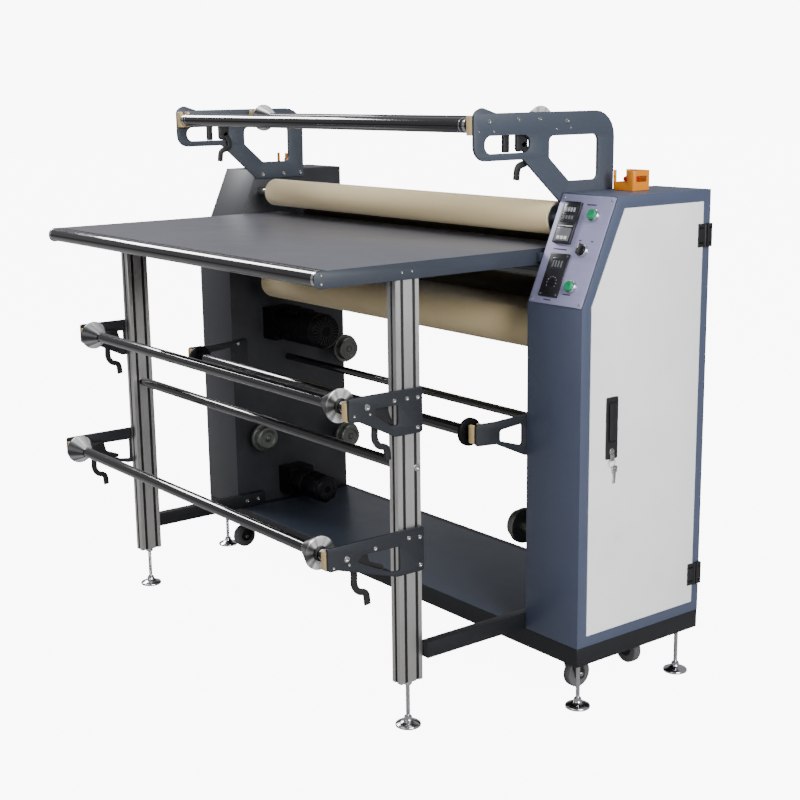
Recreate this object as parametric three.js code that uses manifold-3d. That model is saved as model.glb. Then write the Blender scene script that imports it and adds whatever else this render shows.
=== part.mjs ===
// Roll-to-roll calender heat press with a feed table: two side cabinets on a plinth carry a
// heated drum, a felt blanket on its rollers and a set of paper and fabric shafts.
// Millimetres, +Z up. +X is the control side, -Y is the operator's side.
import * as THREE from "three";
import { mergeVertices } from "three/addons/utils/BufferGeometryUtils.js";
import Module from "manifold-3d";

const wasm = await Module();
wasm.setup();

// ---- driving dimensions -------------------------------------------------------------------
const GAP = 0.3; // between pieces that touch
const RUNNING = 0.6; // round a turning piece
const DEG = Math.PI / 180;

const footHeight = 122; // floor to plinth
const plinthHeight = 46;
const plinthRail = 60;
const innerHalf = 676; // machine centre to a cabinet's inner face
const cabinetWidth = 180;
const cabinetDepth = 425;
const cabinetHeight = 1060;
const slopeDrop = 250; // from the cabinet's top to the start of its sloped front
const slopeStart = cabinetHeight - slopeDrop;
const slopeDepth = 111;
const sheet = 3; // cabinet sheet
const traySheet = 2;

const doorMargin = 28;
const doorSheet = 2.5;
const doorLip = 14; // overlap of the door on its opening
const hingeRadius = 4;
const hingeStandOff = 2 * hingeRadius + GAP; // from the cabinet to a hinge's far side

const tableBelowTop = 128; // from the cabinets' tops to the table's top
const tableHeight = cabinetHeight - tableBelowTop; // above the plinth
const tableSideGap = 18; // from a cabinet to the inside of the table's skirt
const tableHalf = innerHalf - tableSideGap;
const tableFront = 553; // ahead of the cabinet front
const tableSheet = 3;
const skirtDrop = 38;
const tableRollerRadius = 19;
const tableRollerAhead = 573;
const tableRollerBelow = 17;

const legWidth = 35;
const legDepth = 66;
const legFront = 374; // ahead of the cabinet front
const legBelowPlinthTop = 53;
const slotWidth = 8;
const slotDepth = 9;
const tieBarRadius = 13;
const tieBarHeight = 466;
const stretcherWidth = 24;
const stretcherHeight = 42;
const stretcherReach = 85; // along the cabinet's inner face

const bracketPlate = 8;
const saddleWidth = 20;
const saddleLength = 32;
const saddleHalfHeight = 22;
const legSaddleDrop = 6; // a leg bracket's saddle sits this much lower on its shaft
const journalRadius = 7;
const shaftRadius = 14;
const coneRadius = 39;
const coneTip = 16.5;
const coneLength = 52;
const coneFace = innerHalf - 64; // machine centre to a cone's wide face
const discFace = innerHalf - 40; // machine centre to a disc's outer face

const drumRadius = 95;
const drumY = 260;
const tableUnderDrum = 11; // the table's rear edge past the foremost line of the drum
const tableRear = drumY - drumRadius + tableUnderDrum;
const drumHeight = cabinetHeight - 195;
const feltThickness = 5;
const feltLeft = -innerHalf + 91;
const feltRight = innerHalf - 24;
const shaftEndRadius = 17;

const slopeLength = Math.hypot(slopeDrop, slopeDepth);
const slopeAngle = Math.atan2(slopeDepth, slopeDrop); // back from upright
const outerHalf = innerHalf + cabinetWidth;
const plinthTop = footHeight + plinthHeight;
const legOuter = tableHalf - GAP;
const legInner = legOuter - legWidth;

// ---- materials ----------------------------------------------------------------------------
const paint = (color, roughness, metalness) =>
  new THREE.MeshStandardMaterial({ color, roughness, metalness });
const bluePaint = paint(0x555f76, 0.45, 0.2);
const plinthPaint = paint(0x1f2126, 0.5, 0.2);
const bracketPaint = paint(0x4c545f, 0.5, 0.3);
const whitePaint = paint(0xf0f1f2, 0.35, 0.1);
const panelFinish = paint(0xa8a8cc, 0.4, 0.4);
const tableFinish = paint(0x84858a, 0.4, 0.3);
const aluminium = paint(0xb4b2ac, 0.35, 0.9);
const turnedSteel = paint(0xc8c8c8, 0.2, 1.0);
const blackSteel = paint(0x161616, 0.25, 0.6);
const blackPlastic = paint(0x1a1a1c, 0.5, 0.0);
const felt = paint(0xe1d7b4, 0.95, 0.0);
const greenPlastic = paint(0x148755, 0.35, 0.0);
const redPlastic = paint(0xbe1e1e, 0.35, 0.0);
const yellowPlastic = paint(0xe1961e, 0.45, 0.0);
const wheelRubber = paint(0x6e6e6e, 0.7, 0.0);
const castGrey = paint(0x8d918a, 0.45, 0.7);

// ---- solids -------------------------------------------------------------------------------
// A closed three.js geometry as a solid, with its faces pointing out.
function solid(geometry) {
  const bare = geometry.clone();
  bare.deleteAttribute("normal");
  bare.deleteAttribute("uv");
  const merged = mergeVertices(bare, 1e-3);
  const place = merged.attributes.position;
  const corner = (i) => new THREE.Vector3().fromBufferAttribute(place, i);
  const triangles = [];
  let volume = 0;
  for (let i = 0; i < merged.index.count; i += 3) {
    const [a, b, c] = [0, 1, 2].map((k) => merged.index.getX(i + k));
    if (a === b || b === c || c === a) continue;
    triangles.push([a, b, c]);
    volume += corner(a).dot(corner(b).cross(corner(c)));
  }
  const outward = volume < 0 ? triangles.map(([a, b, c]) => [a, c, b]) : triangles;
  return new wasm.Manifold(
    new wasm.Mesh({
      numProp: 3,
      vertProperties: new Float32Array(place.array),
      triVerts: new Uint32Array(outward.flat()),
    }),
  );
}

function geometryOf(body) {
  const mesh = body.getMesh();
  const geometry = new THREE.BufferGeometry();
  geometry.setAttribute("position", new THREE.BufferAttribute(mesh.vertProperties, 3));
  geometry.setIndex(new THREE.BufferAttribute(mesh.triVerts, 1));
  geometry.computeVertexNormals();
  return geometry;
}

const union = (bodies) => bodies.reduce((sum, body) => sum.add(body));
const cut = (body, tools) => tools.reduce((rest, tool) => rest.subtract(tool), body);

// A box from its lowest to its highest corner.
function block([x0, y0, z0], [x1, y1, z1]) {
  const geometry = new THREE.BoxGeometry(x1 - x0, y1 - y0, z1 - z0);
  geometry.translate((x0 + x1) / 2, (y0 + y1) / 2, (z0 + z1) / 2);
  return solid(geometry);
}

// A shape drawn in the YZ plane, extruded along X from x0 to x1.
function acrossX(shape, x0, x1, curveSegments = 3) {
  const geometry = new THREE.ExtrudeGeometry(shape, {
    depth: x1 - x0,
    bevelEnabled: false,
    curveSegments,
  });
  const turn = new THREE.Matrix4().set(0, 0, 1, x0, 1, 0, 0, 0, 0, 1, 0, 0, 0, 0, 0, 1);
  return solid(geometry.applyMatrix4(turn));
}

// A shape drawn in the XY plane, extruded up from z0 to z1.
function upZ(shape, z0, z1, curveSegments = 5) {
  const geometry = new THREE.ExtrudeGeometry(shape, {
    depth: z1 - z0,
    bevelEnabled: false,
    curveSegments,
  });
  return solid(geometry.translate(0, 0, z0));
}

// A turned piece about X: the profile lists [x, radius].
function turnedX(profile, segments = 28, y = 0, z = 0) {
  const points = profile.map(([x, r]) => new THREE.Vector2(r, x));
  const geometry = new THREE.LatheGeometry(points, segments);
  return solid(geometry.rotateZ(-Math.PI / 2).translate(0, y, z));
}

// A turned piece about Z: the profile lists [z, radius].
function turnedZ(profile, segments = 20, x = 0, y = 0) {
  const points = profile.map(([z, r]) => new THREE.Vector2(r, z));
  const geometry = new THREE.LatheGeometry(points, segments);
  return solid(geometry.rotateX(Math.PI / 2).translate(x, y, 0));
}

const rod = (x0, x1, radius) => [[x0, 0], [x0, radius], [x1, radius], [x1, 0]];

// A closed anticlockwise outline through points, its corners rounded by each point's third number.
function outline(corners) {
  const shape = new THREE.Shape();
  const count = corners.length;
  const clockwise = THREE.ShapeUtils.area(corners.map(([x, y]) => ({ x, y }))) < 0;
  const points = clockwise ? [...corners].reverse() : corners;
  const at = (i) => new THREE.Vector2(...points[(i + count) % count].slice(0, 2));
  points.forEach(([, , radius = 0], i) => {
    const here = at(i);
    const before = at(i - 1).sub(here);
    const after = at(i + 1).sub(here);
    if (radius > 0) {
      const half = Math.acos(before.dot(after) / before.length() / after.length()) / 2;
      const run = Math.min(radius / Math.tan(half), before.length() / 2.05, after.length() / 2.05);
      const start = before.setLength(run).add(here);
      const end = after.setLength(run).add(here);
      if (i === 0) shape.moveTo(start.x, start.y);
      else shape.lineTo(start.x, start.y);
      shape.quadraticCurveTo(here.x, here.y, end.x, end.y);
    } else if (i === 0) shape.moveTo(here.x, here.y);
    else shape.lineTo(here.x, here.y);
  });
  shape.closePath();
  return shape;
}

const rectangle = (x0, y0, x1, y1, radius = 0) =>
  outline([[x0, y0, radius], [x1, y0, radius], [x1, y1, radius], [x0, y1, radius]]);

// A strap of constant width along a smooth line through points [y, z].
function strap(points, width, steps) {
  const line = new THREE.CatmullRomCurve3(points.map(([y, z]) => new THREE.Vector3(y, z, 0)));
  const near = [];
  const far = [];
  for (let i = 0; i <= steps; i++) {
    const at = line.getPoint(i / steps);
    const along = line.getTangent(i / steps);
    near.push([at.x - along.y * width / 2, at.y + along.x * width / 2]);
    far.unshift([at.x + along.y * width / 2, at.y - along.x * width / 2]);
  }
  return outline([...near, ...far]);
}

// Moves a piece drawn flat in front of the sloped panel onto the slope: its x stays, its y runs
// up the slope and its z stands out from it.
function ontoSlope(body) {
  const geometry = geometryOf(body);
  geometry.rotateX(Math.PI / 2 - slopeAngle);
  return solid(geometry.translate(0, 0, plinthTop + slopeStart));
}

const machine = new THREE.Group();
const heatPress = new THREE.Group();
heatPress.add(machine);

function add(name, body, material, [x, y, z] = [0, 0, 0]) {
  const mesh = new THREE.Mesh(geometryOf(body), material);
  mesh.name = name;
  mesh.position.set(x, y, z);
  machine.add(mesh);
}

const sides = [["left", -1], ["right", 1]];
// An X span given from the middle outwards, on one side of the machine.
const span = (side, inner, outer) => (side > 0 ? [inner, outer] : [-outer, -inner]);

// ---- base ---------------------------------------------------------------------------------
const footInset = 36;
const footRadius = 28;
const trayHalf = innerHalf - stretcherWidth - 2 * GAP - 1;

function levellingFoot(x, y, top) {
  const profile = [[0, 0], [0, footRadius], [5, footRadius], [14, 12], [24, 9], [24, 5.5]];
  return turnedZ([...profile, [top - 12, 5.5], [top - 12, 10], [top, 10], [top, 0]], 12, x, y);
}

function baseFrame() {
  const low = [-outerHalf, 0, footHeight];
  const plinth = block(low, [outerHalf, cabinetDepth, plinthTop]);
  const middle = block(
    [-innerHalf + plinthRail, plinthRail, footHeight - 1],
    [innerHalf - plinthRail, cabinetDepth - plinthRail, plinthTop + 1],
  );
  const feet = [];
  for (const x of [-outerHalf + footInset, outerHalf - footInset]) {
    for (const y of [footInset + 4, cabinetDepth - footInset]) {
      feet.push(levellingFoot(x, y, footHeight + 1));
    }
  }
  const stretchers = sides.map(([, side]) => {
    const [x0, x1] = span(side, innerHalf - GAP - stretcherWidth, innerHalf - GAP);
    return block(
      [x0, -legFront + legDepth + GAP, plinthTop - 1],
      [x1, stretcherReach, plinthTop + stretcherHeight],
    );
  });
  const tray = block([-trayHalf, 1, plinthTop - 1], [trayHalf, cabinetDepth - 25, plinthTop + traySheet]);
  return union([cut(plinth, [middle]), tray, ...feet, ...stretchers]);
}
add("base_frame", baseFrame(), plinthPaint);

// ---- castors ------------------------------------------------------------------------------
const castorWheelRadius = 36;
const castorWheelHalf = 12;
const castorAxle = 46; // above the floor
const castorTrail = 26;
const castorX = outerHalf - 112;
// each castor's place behind the cabinet front and how far it is swung round, in degrees
const castors = [
  ["front_left", -1, 84, 180],
  ["front_right", 1, 84, 0],
  ["rear_left", -1, cabinetDepth - 103, 30],
  ["rear_right", 1, cabinetDepth - 103, 90],
];

function castorFork() {
  const top = footHeight - GAP;
  const cheek = (x) =>
    acrossX(
      outline([
        [-14, top - 12],
        [castorTrail - 14, castorAxle - 13, 9],
        [castorTrail + 14, castorAxle - 13, 9],
        [24, top - 12],
      ]),
      x,
      x + 3,
      3,
    );
  const crown = turnedZ([[top - 14, 0], [top - 14, 24], [top, 24], [top, 0]], 12);
  const bridge = block([-17.5, -14, top - 14], [17.5, 24, top - 11]);
  const axle = turnedX(rod(-17, 17, 4), 8, castorTrail, castorAxle);
  return union([crown, bridge, cheek(-17.5), cheek(14.5), axle]);
}

function castorWheel() {
  const r = castorWheelRadius;
  const w = castorWheelHalf;
  const bore = 4 + RUNNING;
  const profile = [[-w, bore], [-w, r], [w, r], [w, bore], [-w, bore]];
  return turnedX(profile, 20, castorTrail, castorAxle);
}

const swung = (body, degrees) => solid(geometryOf(body).rotateZ(degrees * DEG));

for (const [label, side, y, degrees] of castors) {
  const at = [side * castorX, y, 0];
  add(`castor_fork_${label}`, swung(castorFork(), degrees), blackPlastic, at);
  add(`castor_wheel_${label}`, swung(castorWheel(), degrees), wheelRubber, at);
}

// ---- cabinets -----------------------------------------------------------------------------
// The cabinet's side outline, drawn in by the same distance all round.
function cabinetSide(inset, bottomInset = inset) {
  const z0 = plinthTop + GAP;
  const z1 = plinthTop + cabinetHeight;
  const bend = inset * Math.tan(slopeAngle / 2);
  const top = slopeDepth + inset / Math.cos(slopeAngle) - inset * Math.tan(slopeAngle);
  return outline([
    [inset, z0 + bottomInset],
    [cabinetDepth - inset, z0 + bottomInset],
    [cabinetDepth - inset, z1 - inset],
    [top, z1 - inset],
    [inset, plinthTop + slopeStart + bend],
  ]);
}

const panelMargin = 4;
const panelX0 = innerHalf + panelMargin;
const panelX1 = outerHalf - panelMargin;
const cutoutMargin = 14;

function cabinetShell(side) {
  const [x0, x1] = span(side, innerHalf, outerHalf);
  const outer = acrossX(cabinetSide(0), x0, x1);
  // the shell is open underneath, where it stands on the plinth
  const inner = acrossX(cabinetSide(sheet, -5), x0 + sheet, x1 - sheet);
  return cut(outer, [inner]);
}

function rightCabinet() {
  const doorway = acrossX(cabinetSide(doorMargin + doorLip), outerHalf - 10, outerHalf + 10);
  const panelOpening = ontoSlope(
    block(
      [panelX0 + cutoutMargin, panelMargin + cutoutMargin, -20],
      [panelX1 - cutoutMargin, slopeLength - panelMargin - cutoutMargin, 10],
    ),
  );
  const hinges = hingeHeights.map((z) =>
    block(
      [outerHalf - 1, hingeY + hingeRadius + GAP, z - hingeHalf],
      [outerHalf + hingeStandOff, cabinetDepth - 1, z + hingeHalf],
    ),
  );
  return union([cut(cabinetShell(1), [doorway, panelOpening]), ...hinges]);
}

const hingeHeights = [plinthTop + 102, plinthTop + cabinetHeight - 108];
const hingeHalf = 28;
const hingeY = cabinetDepth - doorMargin + 6;

add("left_cabinet", cabinetShell(-1), bluePaint);
add("right_cabinet", rightCabinet(), bluePaint);

// ---- door and its lock --------------------------------------------------------------------
const doorX = outerHalf + GAP;
const lockY = 98;
const lockBottom = plinthTop + 452;
const lockTop = plinthTop + 600;
const lockHalf = 19;
const lockPlate = 3;
const handlePivot = lockTop - 14;
const handleX = doorX + doorSheet + lockPlate + GAP;

function rightDoor() {
  const face = acrossX(cabinetSide(doorMargin), doorX, doorX + doorSheet);
  const plate = acrossX(
    rectangle(lockY - lockHalf, lockBottom, lockY + lockHalf, lockTop, 4),
    doorX + doorSheet - 0.5,
    doorX + doorSheet + lockPlate,
  );
  const barrels = hingeHeights.map((z) =>
    union([
      turnedZ([[z - hingeHalf, 0], [z - hingeHalf, hingeRadius], [z + hingeHalf, hingeRadius], [z + hingeHalf, 0]],
        12, outerHalf + hingeStandOff - hingeRadius, hingeY),
      block(
        [doorX + doorSheet - 0.5, hingeY - 22, z - hingeHalf],
        [outerHalf + hingeStandOff - 2, hingeY, z + hingeHalf],
      ),
    ]),
  );
  return union([face, plate, ...barrels]);
}
add("right_door", rightDoor(), whitePaint);

add(
  "door_handle",
  block([handleX, lockY - 11, lockBottom + 42], [handleX + 2.5, lockY + 11, handlePivot]),
  blackPlastic,
);

// ---- control panel ------------------------------------------------------------------------
const buttonRadius = 12;
const bezelRadius = 15.5;
const bezelHeight = 11;
const buttonTravel = 4;
const panelSheet = 2;
const controlX = outerHalf - 53;
const startAt = [controlX, 222];
const selectorAt = [controlX, 137];
const feedAt = [controlX, 50];

const panelPiece = (x0, y0, x1, y1, z0, z1) => block([x0, y0, z0], [x1, y1, z1]);

function bezel([x, y]) {
  const inner = buttonRadius + RUNNING;
  const profile = [[GAP + 1, inner], [GAP + 1, bezelRadius], [bezelHeight, bezelRadius], [bezelHeight, inner]];
  return turnedZ([...profile, profile[0]], 16, x, y);
}

function controlPanel() {
  const plate = panelPiece(panelX0, panelMargin, panelX1, slopeLength - panelMargin, GAP, GAP + panelSheet);
  const temperature = panelPiece(innerHalf + 24, 149, innerHalf + 81, 251, -55, 11);
  const speed = panelPiece(innerHalf + 30, 20, innerHalf + 92, 126, -35, 5);
  return ontoSlope(union([plate, temperature, speed, bezel(startAt), bezel(selectorAt), bezel(feedAt)]));
}
add("control_panel", controlPanel(), panelFinish);

const capBase = GAP + panelSheet + GAP + buttonTravel;
function buttonCap([x, y]) {
  const top = bezelHeight + 7;
  const r = buttonRadius;
  return ontoSlope(turnedZ([[capBase, 0], [capBase, r], [top, r], [top, 0]], 16, x, y));
}
add("start_button", buttonCap(startAt), greenPlastic);
add("feed_button", buttonCap(feedAt), greenPlastic);

function selectorKnob([x, y]) {
  const low = GAP + panelSheet + GAP;
  const r = buttonRadius;
  const barrel = turnedZ([[low, 0], [low, r], [bezelHeight + 3, r], [bezelHeight + 3, 0]], 16, x, y);
  const grip = block([x - 4, y - r, bezelHeight + 2], [x + 4, y + r + 2, bezelHeight + 13]);
  return ontoSlope(union([barrel, grip]));
}
add("mode_selector", selectorKnob(selectorAt), blackPlastic);

// ---- emergency stops ----------------------------------------------------------------------
const guardWidth = 70;
const guardDepth = 58;
const guardHeight = 47;
const guardBase = 15;
const guardWall = 5;
const guardX = innerHalf + 62;
const guardY = 275;
const stopRadius = 19;
const stopTravel = 5;
const stemRadius = 8;

function stopGuard() {
  const w = guardWidth / 2;
  const d = guardDepth / 2;
  const body = upZ(rectangle(-w, -d, w, d, 8), 0, guardHeight, 3);
  const well = upZ(rectangle(-w + guardWall, -d + guardWall, w - guardWall, d - guardWall, 5), guardBase, 99, 3);
  const notch = block([-w + 9, -d - 1, 19], [w - 21, -d + guardWall + 1, guardHeight + 1]);
  const sideNotch = block([-w - 1, -18, 19], [-w + guardWall + 1, 18, guardHeight + 1]);
  const window = block([w - guardWall - 1, -20, 20], [w + 1, 16, 34]);
  const bore = turnedZ(rod(6, guardBase + 1, stemRadius + RUNNING), 16);
  return cut(body, [well, notch, sideNotch, window, bore]);
}

function stopButton() {
  const low = guardBase + stopTravel + GAP + 1;
  const profile = [[6 + stopTravel + GAP, 0], [6 + stopTravel + GAP, stemRadius], [low, stemRadius]];
  return turnedZ([...profile, [low, stopRadius], [low + 9, stopRadius], [low + 13, 10], [low + 13, 0]], 16);
}

for (const [label, side] of sides) {
  const at = [side * guardX, guardY, plinthTop + cabinetHeight + GAP];
  add(`e_stop_guard_${label}`, stopGuard(), yellowPlastic, at);
  add(`e_stop_button_${label}`, stopButton(), redPlastic, at);
}

// ---- drum, felt blanket and its rollers ---------------------------------------------------
// Circles that the blanket runs round, in order: [y, height above plinth, signed radius]. A
// positive circle is inside the loop and a negative one, the drum, is outside it.
const feltRollers = {
  upper: { y: drumY - 140, z: drumHeight + 133, radius: 35 },
  lower: { y: drumY - 156, z: drumHeight - 138, radius: 43 },
  rear_lower: { y: drumY + 122, z: drumHeight - 110, radius: 24 },
  rear_upper: { y: drumY + 122, z: drumHeight + 110, radius: 24 },
};
const feltPath = [
  feltRollers.upper,
  { y: drumY, z: drumHeight, radius: -(drumRadius + feltThickness) },
  feltRollers.lower,
  feltRollers.rear_lower,
  feltRollers.rear_upper,
];

// The closed line that wraps the circles at a distance out from the loop's inner face.
function wrap(circles, distance, step = 10 * DEG) {
  const count = circles.length;
  const signed = circles.map(({ radius }) => radius + distance);
  const heading = circles.map((from, i) => {
    const to = circles[(i + 1) % count];
    const along = Math.atan2(to.z - from.z, to.y - from.y);
    const apart = Math.hypot(to.z - from.z, to.y - from.y);
    return along - Math.asin((signed[(i + 1) % count] - signed[i]) / apart);
  });
  const points = [];
  circles.forEach(({ y, z }, i) => {
    const start = heading[(i - 1 + count) % count];
    let turn = heading[i] - start;
    const full = 2 * Math.PI;
    turn = signed[i] > 0 ? ((turn % full) + full) % full : -(((-turn % full) + full) % full);
    const steps = Math.max(1, Math.ceil(Math.abs(turn) / step));
    for (let k = 0; k <= steps; k++) {
      const angle = start + (turn * k) / steps;
      points.push([y + signed[i] * Math.sin(angle), plinthTop + z - signed[i] * Math.cos(angle)]);
    }
  });
  return points;
}

function feltBlanket() {
  const shape = outline(wrap(feltPath, feltThickness));
  shape.holes.push(outline(wrap(feltPath, 0)));
  return acrossX(shape, feltLeft, feltRight);
}
add("felt_blanket", feltBlanket(), felt);

const drumPastFelt = 6;
const journalHalf = innerHalf - GAP;
function roller(radius, end, past, { y, z }, segments = 20) {
  const x0 = feltLeft - past;
  const x1 = feltRight + past;
  const profile = [[-journalHalf, 0], [-journalHalf, end], [x0, end], [x0, radius], [x1, radius]];
  return turnedX([...profile, [x1, end], [journalHalf, end], [journalHalf, 0]], segments, y, plinthTop + z);
}
add(
  "heating_drum",
  roller(drumRadius - RUNNING, 34, drumPastFelt, { y: drumY, z: drumHeight }, 32),
  blackSteel,
);
for (const [label, place] of Object.entries(feltRollers)) {
  add(`${label}_felt_roller`, roller(place.radius - RUNNING, 12, 0, place), castGrey);
}

// ---- brackets, shafts and brake levers ----------------------------------------------------
// An upright plate whose front end carries an open saddle for a shaft's journal.
function bracket(side, plateInner, plateOutline, holes, axisY, axisZ, saddleDrop = 0) {
  const [x0, x1] = span(side, plateInner, plateInner + bracketPlate);
  const shape = outline(plateOutline);
  holes.forEach((hole) => shape.holes.push(outline(hole)));
  const plate = acrossX(shape, x0, x1);
  const [s0, s1] = span(side, plateInner - saddleWidth, plateInner + 1);
  const half = saddleLength / 2;
  const saddle = block(
    [s0, axisY - half, axisZ - saddleHalfHeight - saddleDrop],
    [s1, axisY + half, axisZ + saddleHalfHeight - saddleDrop],
  );
  const slot = journalRadius + RUNNING;
  const [t0, t1] = span(side, plateInner - saddleWidth - 1, plateInner + GAP);
  const throat = block([t0, axisY - slot, axisZ - slot], [t1, axisY + slot, axisZ + 2 * saddleHalfHeight]);
  return union([cut(plate, [throat]), cut(saddle, [throat])]);
}

const shaftHalf = (plateInner) => plateInner - saddleWidth - 2;
const journalProfile = (plateInner) => {
  const end = plateInner - GAP;
  const shoulder = shaftHalf(plateInner);
  return { end, shoulder };
};

// A shaft of one diameter between two journals.
function plainShaft(plateInner, radius, axisY, axisZ) {
  const { end, shoulder } = journalProfile(plateInner);
  const r = journalRadius;
  const half = [[-end, 0], [-end, r], [-shoulder, r], [-shoulder, radius]];
  const mirrored = half.map(([x, radial]) => [-x, radial]).reverse();
  return turnedX([...half, ...mirrored], 16, axisY, axisZ);
}

// A shaft with a cone near each end, its wide face outwards.
function coneShaft(plateInner, axisY, axisZ) {
  const { end, shoulder } = journalProfile(plateInner);
  const r = journalRadius;
  const half = [
    [-end, 0], [-end, r], [-shoulder, r], [-shoulder, shaftRadius], [-coneFace, shaftRadius],
    [-coneFace, coneRadius], [-coneFace + coneLength, coneTip], [-coneFace + coneLength, shaftRadius],
  ];
  const mirrored = half.map(([x, radial]) => [-x, radial]).reverse();
  return turnedX([...half, ...mirrored], 20, axisY, axisZ);
}

// A shaft with a flat flanged disc near each end.
function discShaft(plateInner, face, axisY, axisZ) {
  const { end, shoulder } = journalProfile(plateInner);
  const r = journalRadius;
  const half = [
    [-end, 0], [-end, r], [-shoulder, r], [-shoulder, shaftRadius], [-face, shaftRadius],
    [-face, 34], [-face + 16, 34], [-face + 16, shaftRadius],
  ];
  const mirrored = half.map(([x, radial]) => [-x, radial]).reverse();
  return turnedX([...half, ...mirrored], 20, axisY, axisZ);
}

const leverThickness = 8;
const leverWidth = 15;
const leverHub = 12;
const upperTail = [[0, 0], [15, -28], [13, -46], [-12, -57], [-18, -86]];
const legTail = [[0, 0], [27, -36], [29, -70], [40, -88], [60, -97], [65, -125]];
// outlines of the broad part round a lever's pivot, as [y, z, corner radius]
const upperYoke = [
  [-60, 38, 4], [14, 38, 6], [14, -20, 8], [-20, -22, 8], [-20, 18, 3], [-42, 18, 3], [-42, -22, 3], [-60, -22, 3],
];
const legYoke = (tip) => [[-4, 11, 3], [62, 5, 4], [70, -24, 6], [tip, -40, 4], [tip - 4, -50, 4], [0, -12, 4]];
// A hanging brake lever: a hub and a broad yoke at its pivot and a tail bent into an S.
function brakeLever(side, plateInner, yoke, tailLine) {
  const [x0, x1] = span(side, plateInner - 1 - leverThickness, plateInner - 1);
  const hub = turnedX(rod(x0, x1, leverHub), 16);
  const tail = acrossX(strap(tailLine, leverWidth, 12), x0, x1);
  return union([hub, tail, acrossX(outline(yoke), x0, x1)]);
}

const cabinetPlateInner = innerHalf - GAP - bracketPlate;
const legPlateInner = tableHalf;

// Upper brackets: a slotted nose over the felt, a window and a foot on the cabinet's inner face.
const upperFrontEdge = 163;
const upperAxisAbove = 161; // above the cabinets' tops
const cabinetTop = plinthTop + cabinetHeight;
const upperAxis = { y: -upperFrontEdge + saddleLength / 2, z: cabinetTop + upperAxisAbove };
const upperRearAxis = { y: 100, z: cabinetTop + upperAxisAbove };
const upperLever = { y: -8, z: cabinetTop + upperAxisAbove - 41 };

function upperBracket(side) {
  const z = (height) => cabinetTop + height;
  const edge = [
    [-upperFrontEdge, z(190), 18],
    [-138, z(200), 12],
    [-98, z(187), 20],
    [280, z(187), 62],
    [278, z(-24), 4],
    [106, z(-24), 4],
    [-14, z(81), 10],
    [-upperFrontEdge, z(81), 34],
  ];
  const slot = [[-132, z(97), 19], [6, z(97), 19], [6, z(137), 19], [-132, z(137), 19]];
  const window = [
    [66, z(82), 10], [130, z(26), 8], [225, z(26), 14], [225, z(132), 14], [66, z(132), 14],
  ];
  const frame = bracket(side, cabinetPlateInner, edge, [slot, window], upperAxis.y, upperAxis.z);
  const [t0, t1] = span(side, cabinetPlateInner - saddleWidth, cabinetPlateInner + 1);
  const [u0, u1] = span(side, cabinetPlateInner - saddleWidth - 1, cabinetPlateInner + GAP);
  const slotHalf = journalRadius + RUNNING;
  const rest = block(
    [t0, upperRearAxis.y - saddleLength / 2, upperRearAxis.z - saddleHalfHeight],
    [t1, upperRearAxis.y + saddleLength / 2, upperRearAxis.z + saddleHalfHeight],
  );
  const throat = block(
    [u0, upperRearAxis.y - slotHalf, upperRearAxis.z - slotHalf],
    [u1, upperRearAxis.y + slotHalf, upperRearAxis.z + 2 * saddleHalfHeight],
  );
  return union([cut(frame, [throat]), cut(rest, [throat])]);
}

// Leg brackets: a nose ahead of the leg, a window and a plate on the leg's outer face.
function legBracket(side, frontEdge, axisZ, height, windowCorners) {
  const rear = -legFront + legDepth - 1;
  const top = axisZ + 26;
  const bottom = top - height;
  const noseBottom = axisZ - 29;
  const edge = [
    [-frontEdge, top, 6],
    [rear, top, 4],
    [rear, bottom, 6],
    [-legFront - 12, bottom, 8],
    [-frontEdge + 26, noseBottom, 10],
    [-frontEdge, noseBottom, 8],
  ];
  const window = windowCorners.map(([y, below]) => [y, axisZ - below, 4]);
  const axisY = -frontEdge + saddleLength / 2;
  return bracket(side, legPlateInner + GAP, edge, [window], axisY, axisZ, legSaddleDrop);
}

// Rear brackets: a nose ahead of the cabinet with a window, bolted to the cabinet's inner face.
const rearFrontEdge = 158;
const rearAxis = { y: -rearFrontEdge + saddleLength / 2, z: plinthTop + 513 };
function rearBracket(side) {
  const { z } = rearAxis;
  const edge = [
    [-rearFrontEdge, z + 26, 8], [-96, z + 24, 20], [50, z + 30, 6],
    [50, z - 74, 6], [-4, z - 72, 8], [-96, z - 30, 20], [-rearFrontEdge, z - 26, 8],
  ];
  const window = [[-84, z + 2, 6], [-12, z + 8, 6], [-12, z - 46, 6], [-84, z - 24, 6]];
  return bracket(side, cabinetPlateInner, edge, [window], rearAxis.y, z);
}

const middleFront = 512;
const middleAxis = { y: -middleFront + saddleLength / 2, z: plinthTop + 624 };
const lowerFront = 576;
const lowerAxis = { y: -lowerFront + saddleLength / 2, z: plinthTop + 298 };
const legLeverBack = 48; // lever pivot behind the nose's front edge
// window corners as [y, distance below the shaft's axis]
const middleWindow = [[-441, 6], [-378, 6], [-378, 53], [-398, 51], [-441, 22]];
const lowerWindow = [[-484, 7], [-378, 9], [-378, 68], [-409, 64], [-497, 21]];

for (const [label, side] of sides) {
  add(`upper_bracket_${label}`, upperBracket(side), bracketPaint);
  add(`middle_bracket_${label}`, legBracket(side, middleFront, middleAxis.z, 104, middleWindow), bracketPaint);
  add(`lower_bracket_${label}`, legBracket(side, lowerFront, lowerAxis.z, 106, lowerWindow), bracketPaint);
  add(`rear_bracket_${label}`, rearBracket(side), bracketPaint);
  add(`upper_lever_${label}`, brakeLever(side, cabinetPlateInner, upperYoke, upperTail), blackPlastic,
    [0, upperLever.y, upperLever.z]);
  add(`middle_lever_${label}`, brakeLever(side, legPlateInner + GAP, legYoke(80), legTail), blackPlastic,
    [0, -middleFront + legLeverBack, middleAxis.z - 6]);
  add(`lower_lever_${label}`, brakeLever(side, legPlateInner + GAP, legYoke(110), legTail), blackPlastic,
    [0, -lowerFront + legLeverBack, lowerAxis.z - 6]);
}

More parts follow.
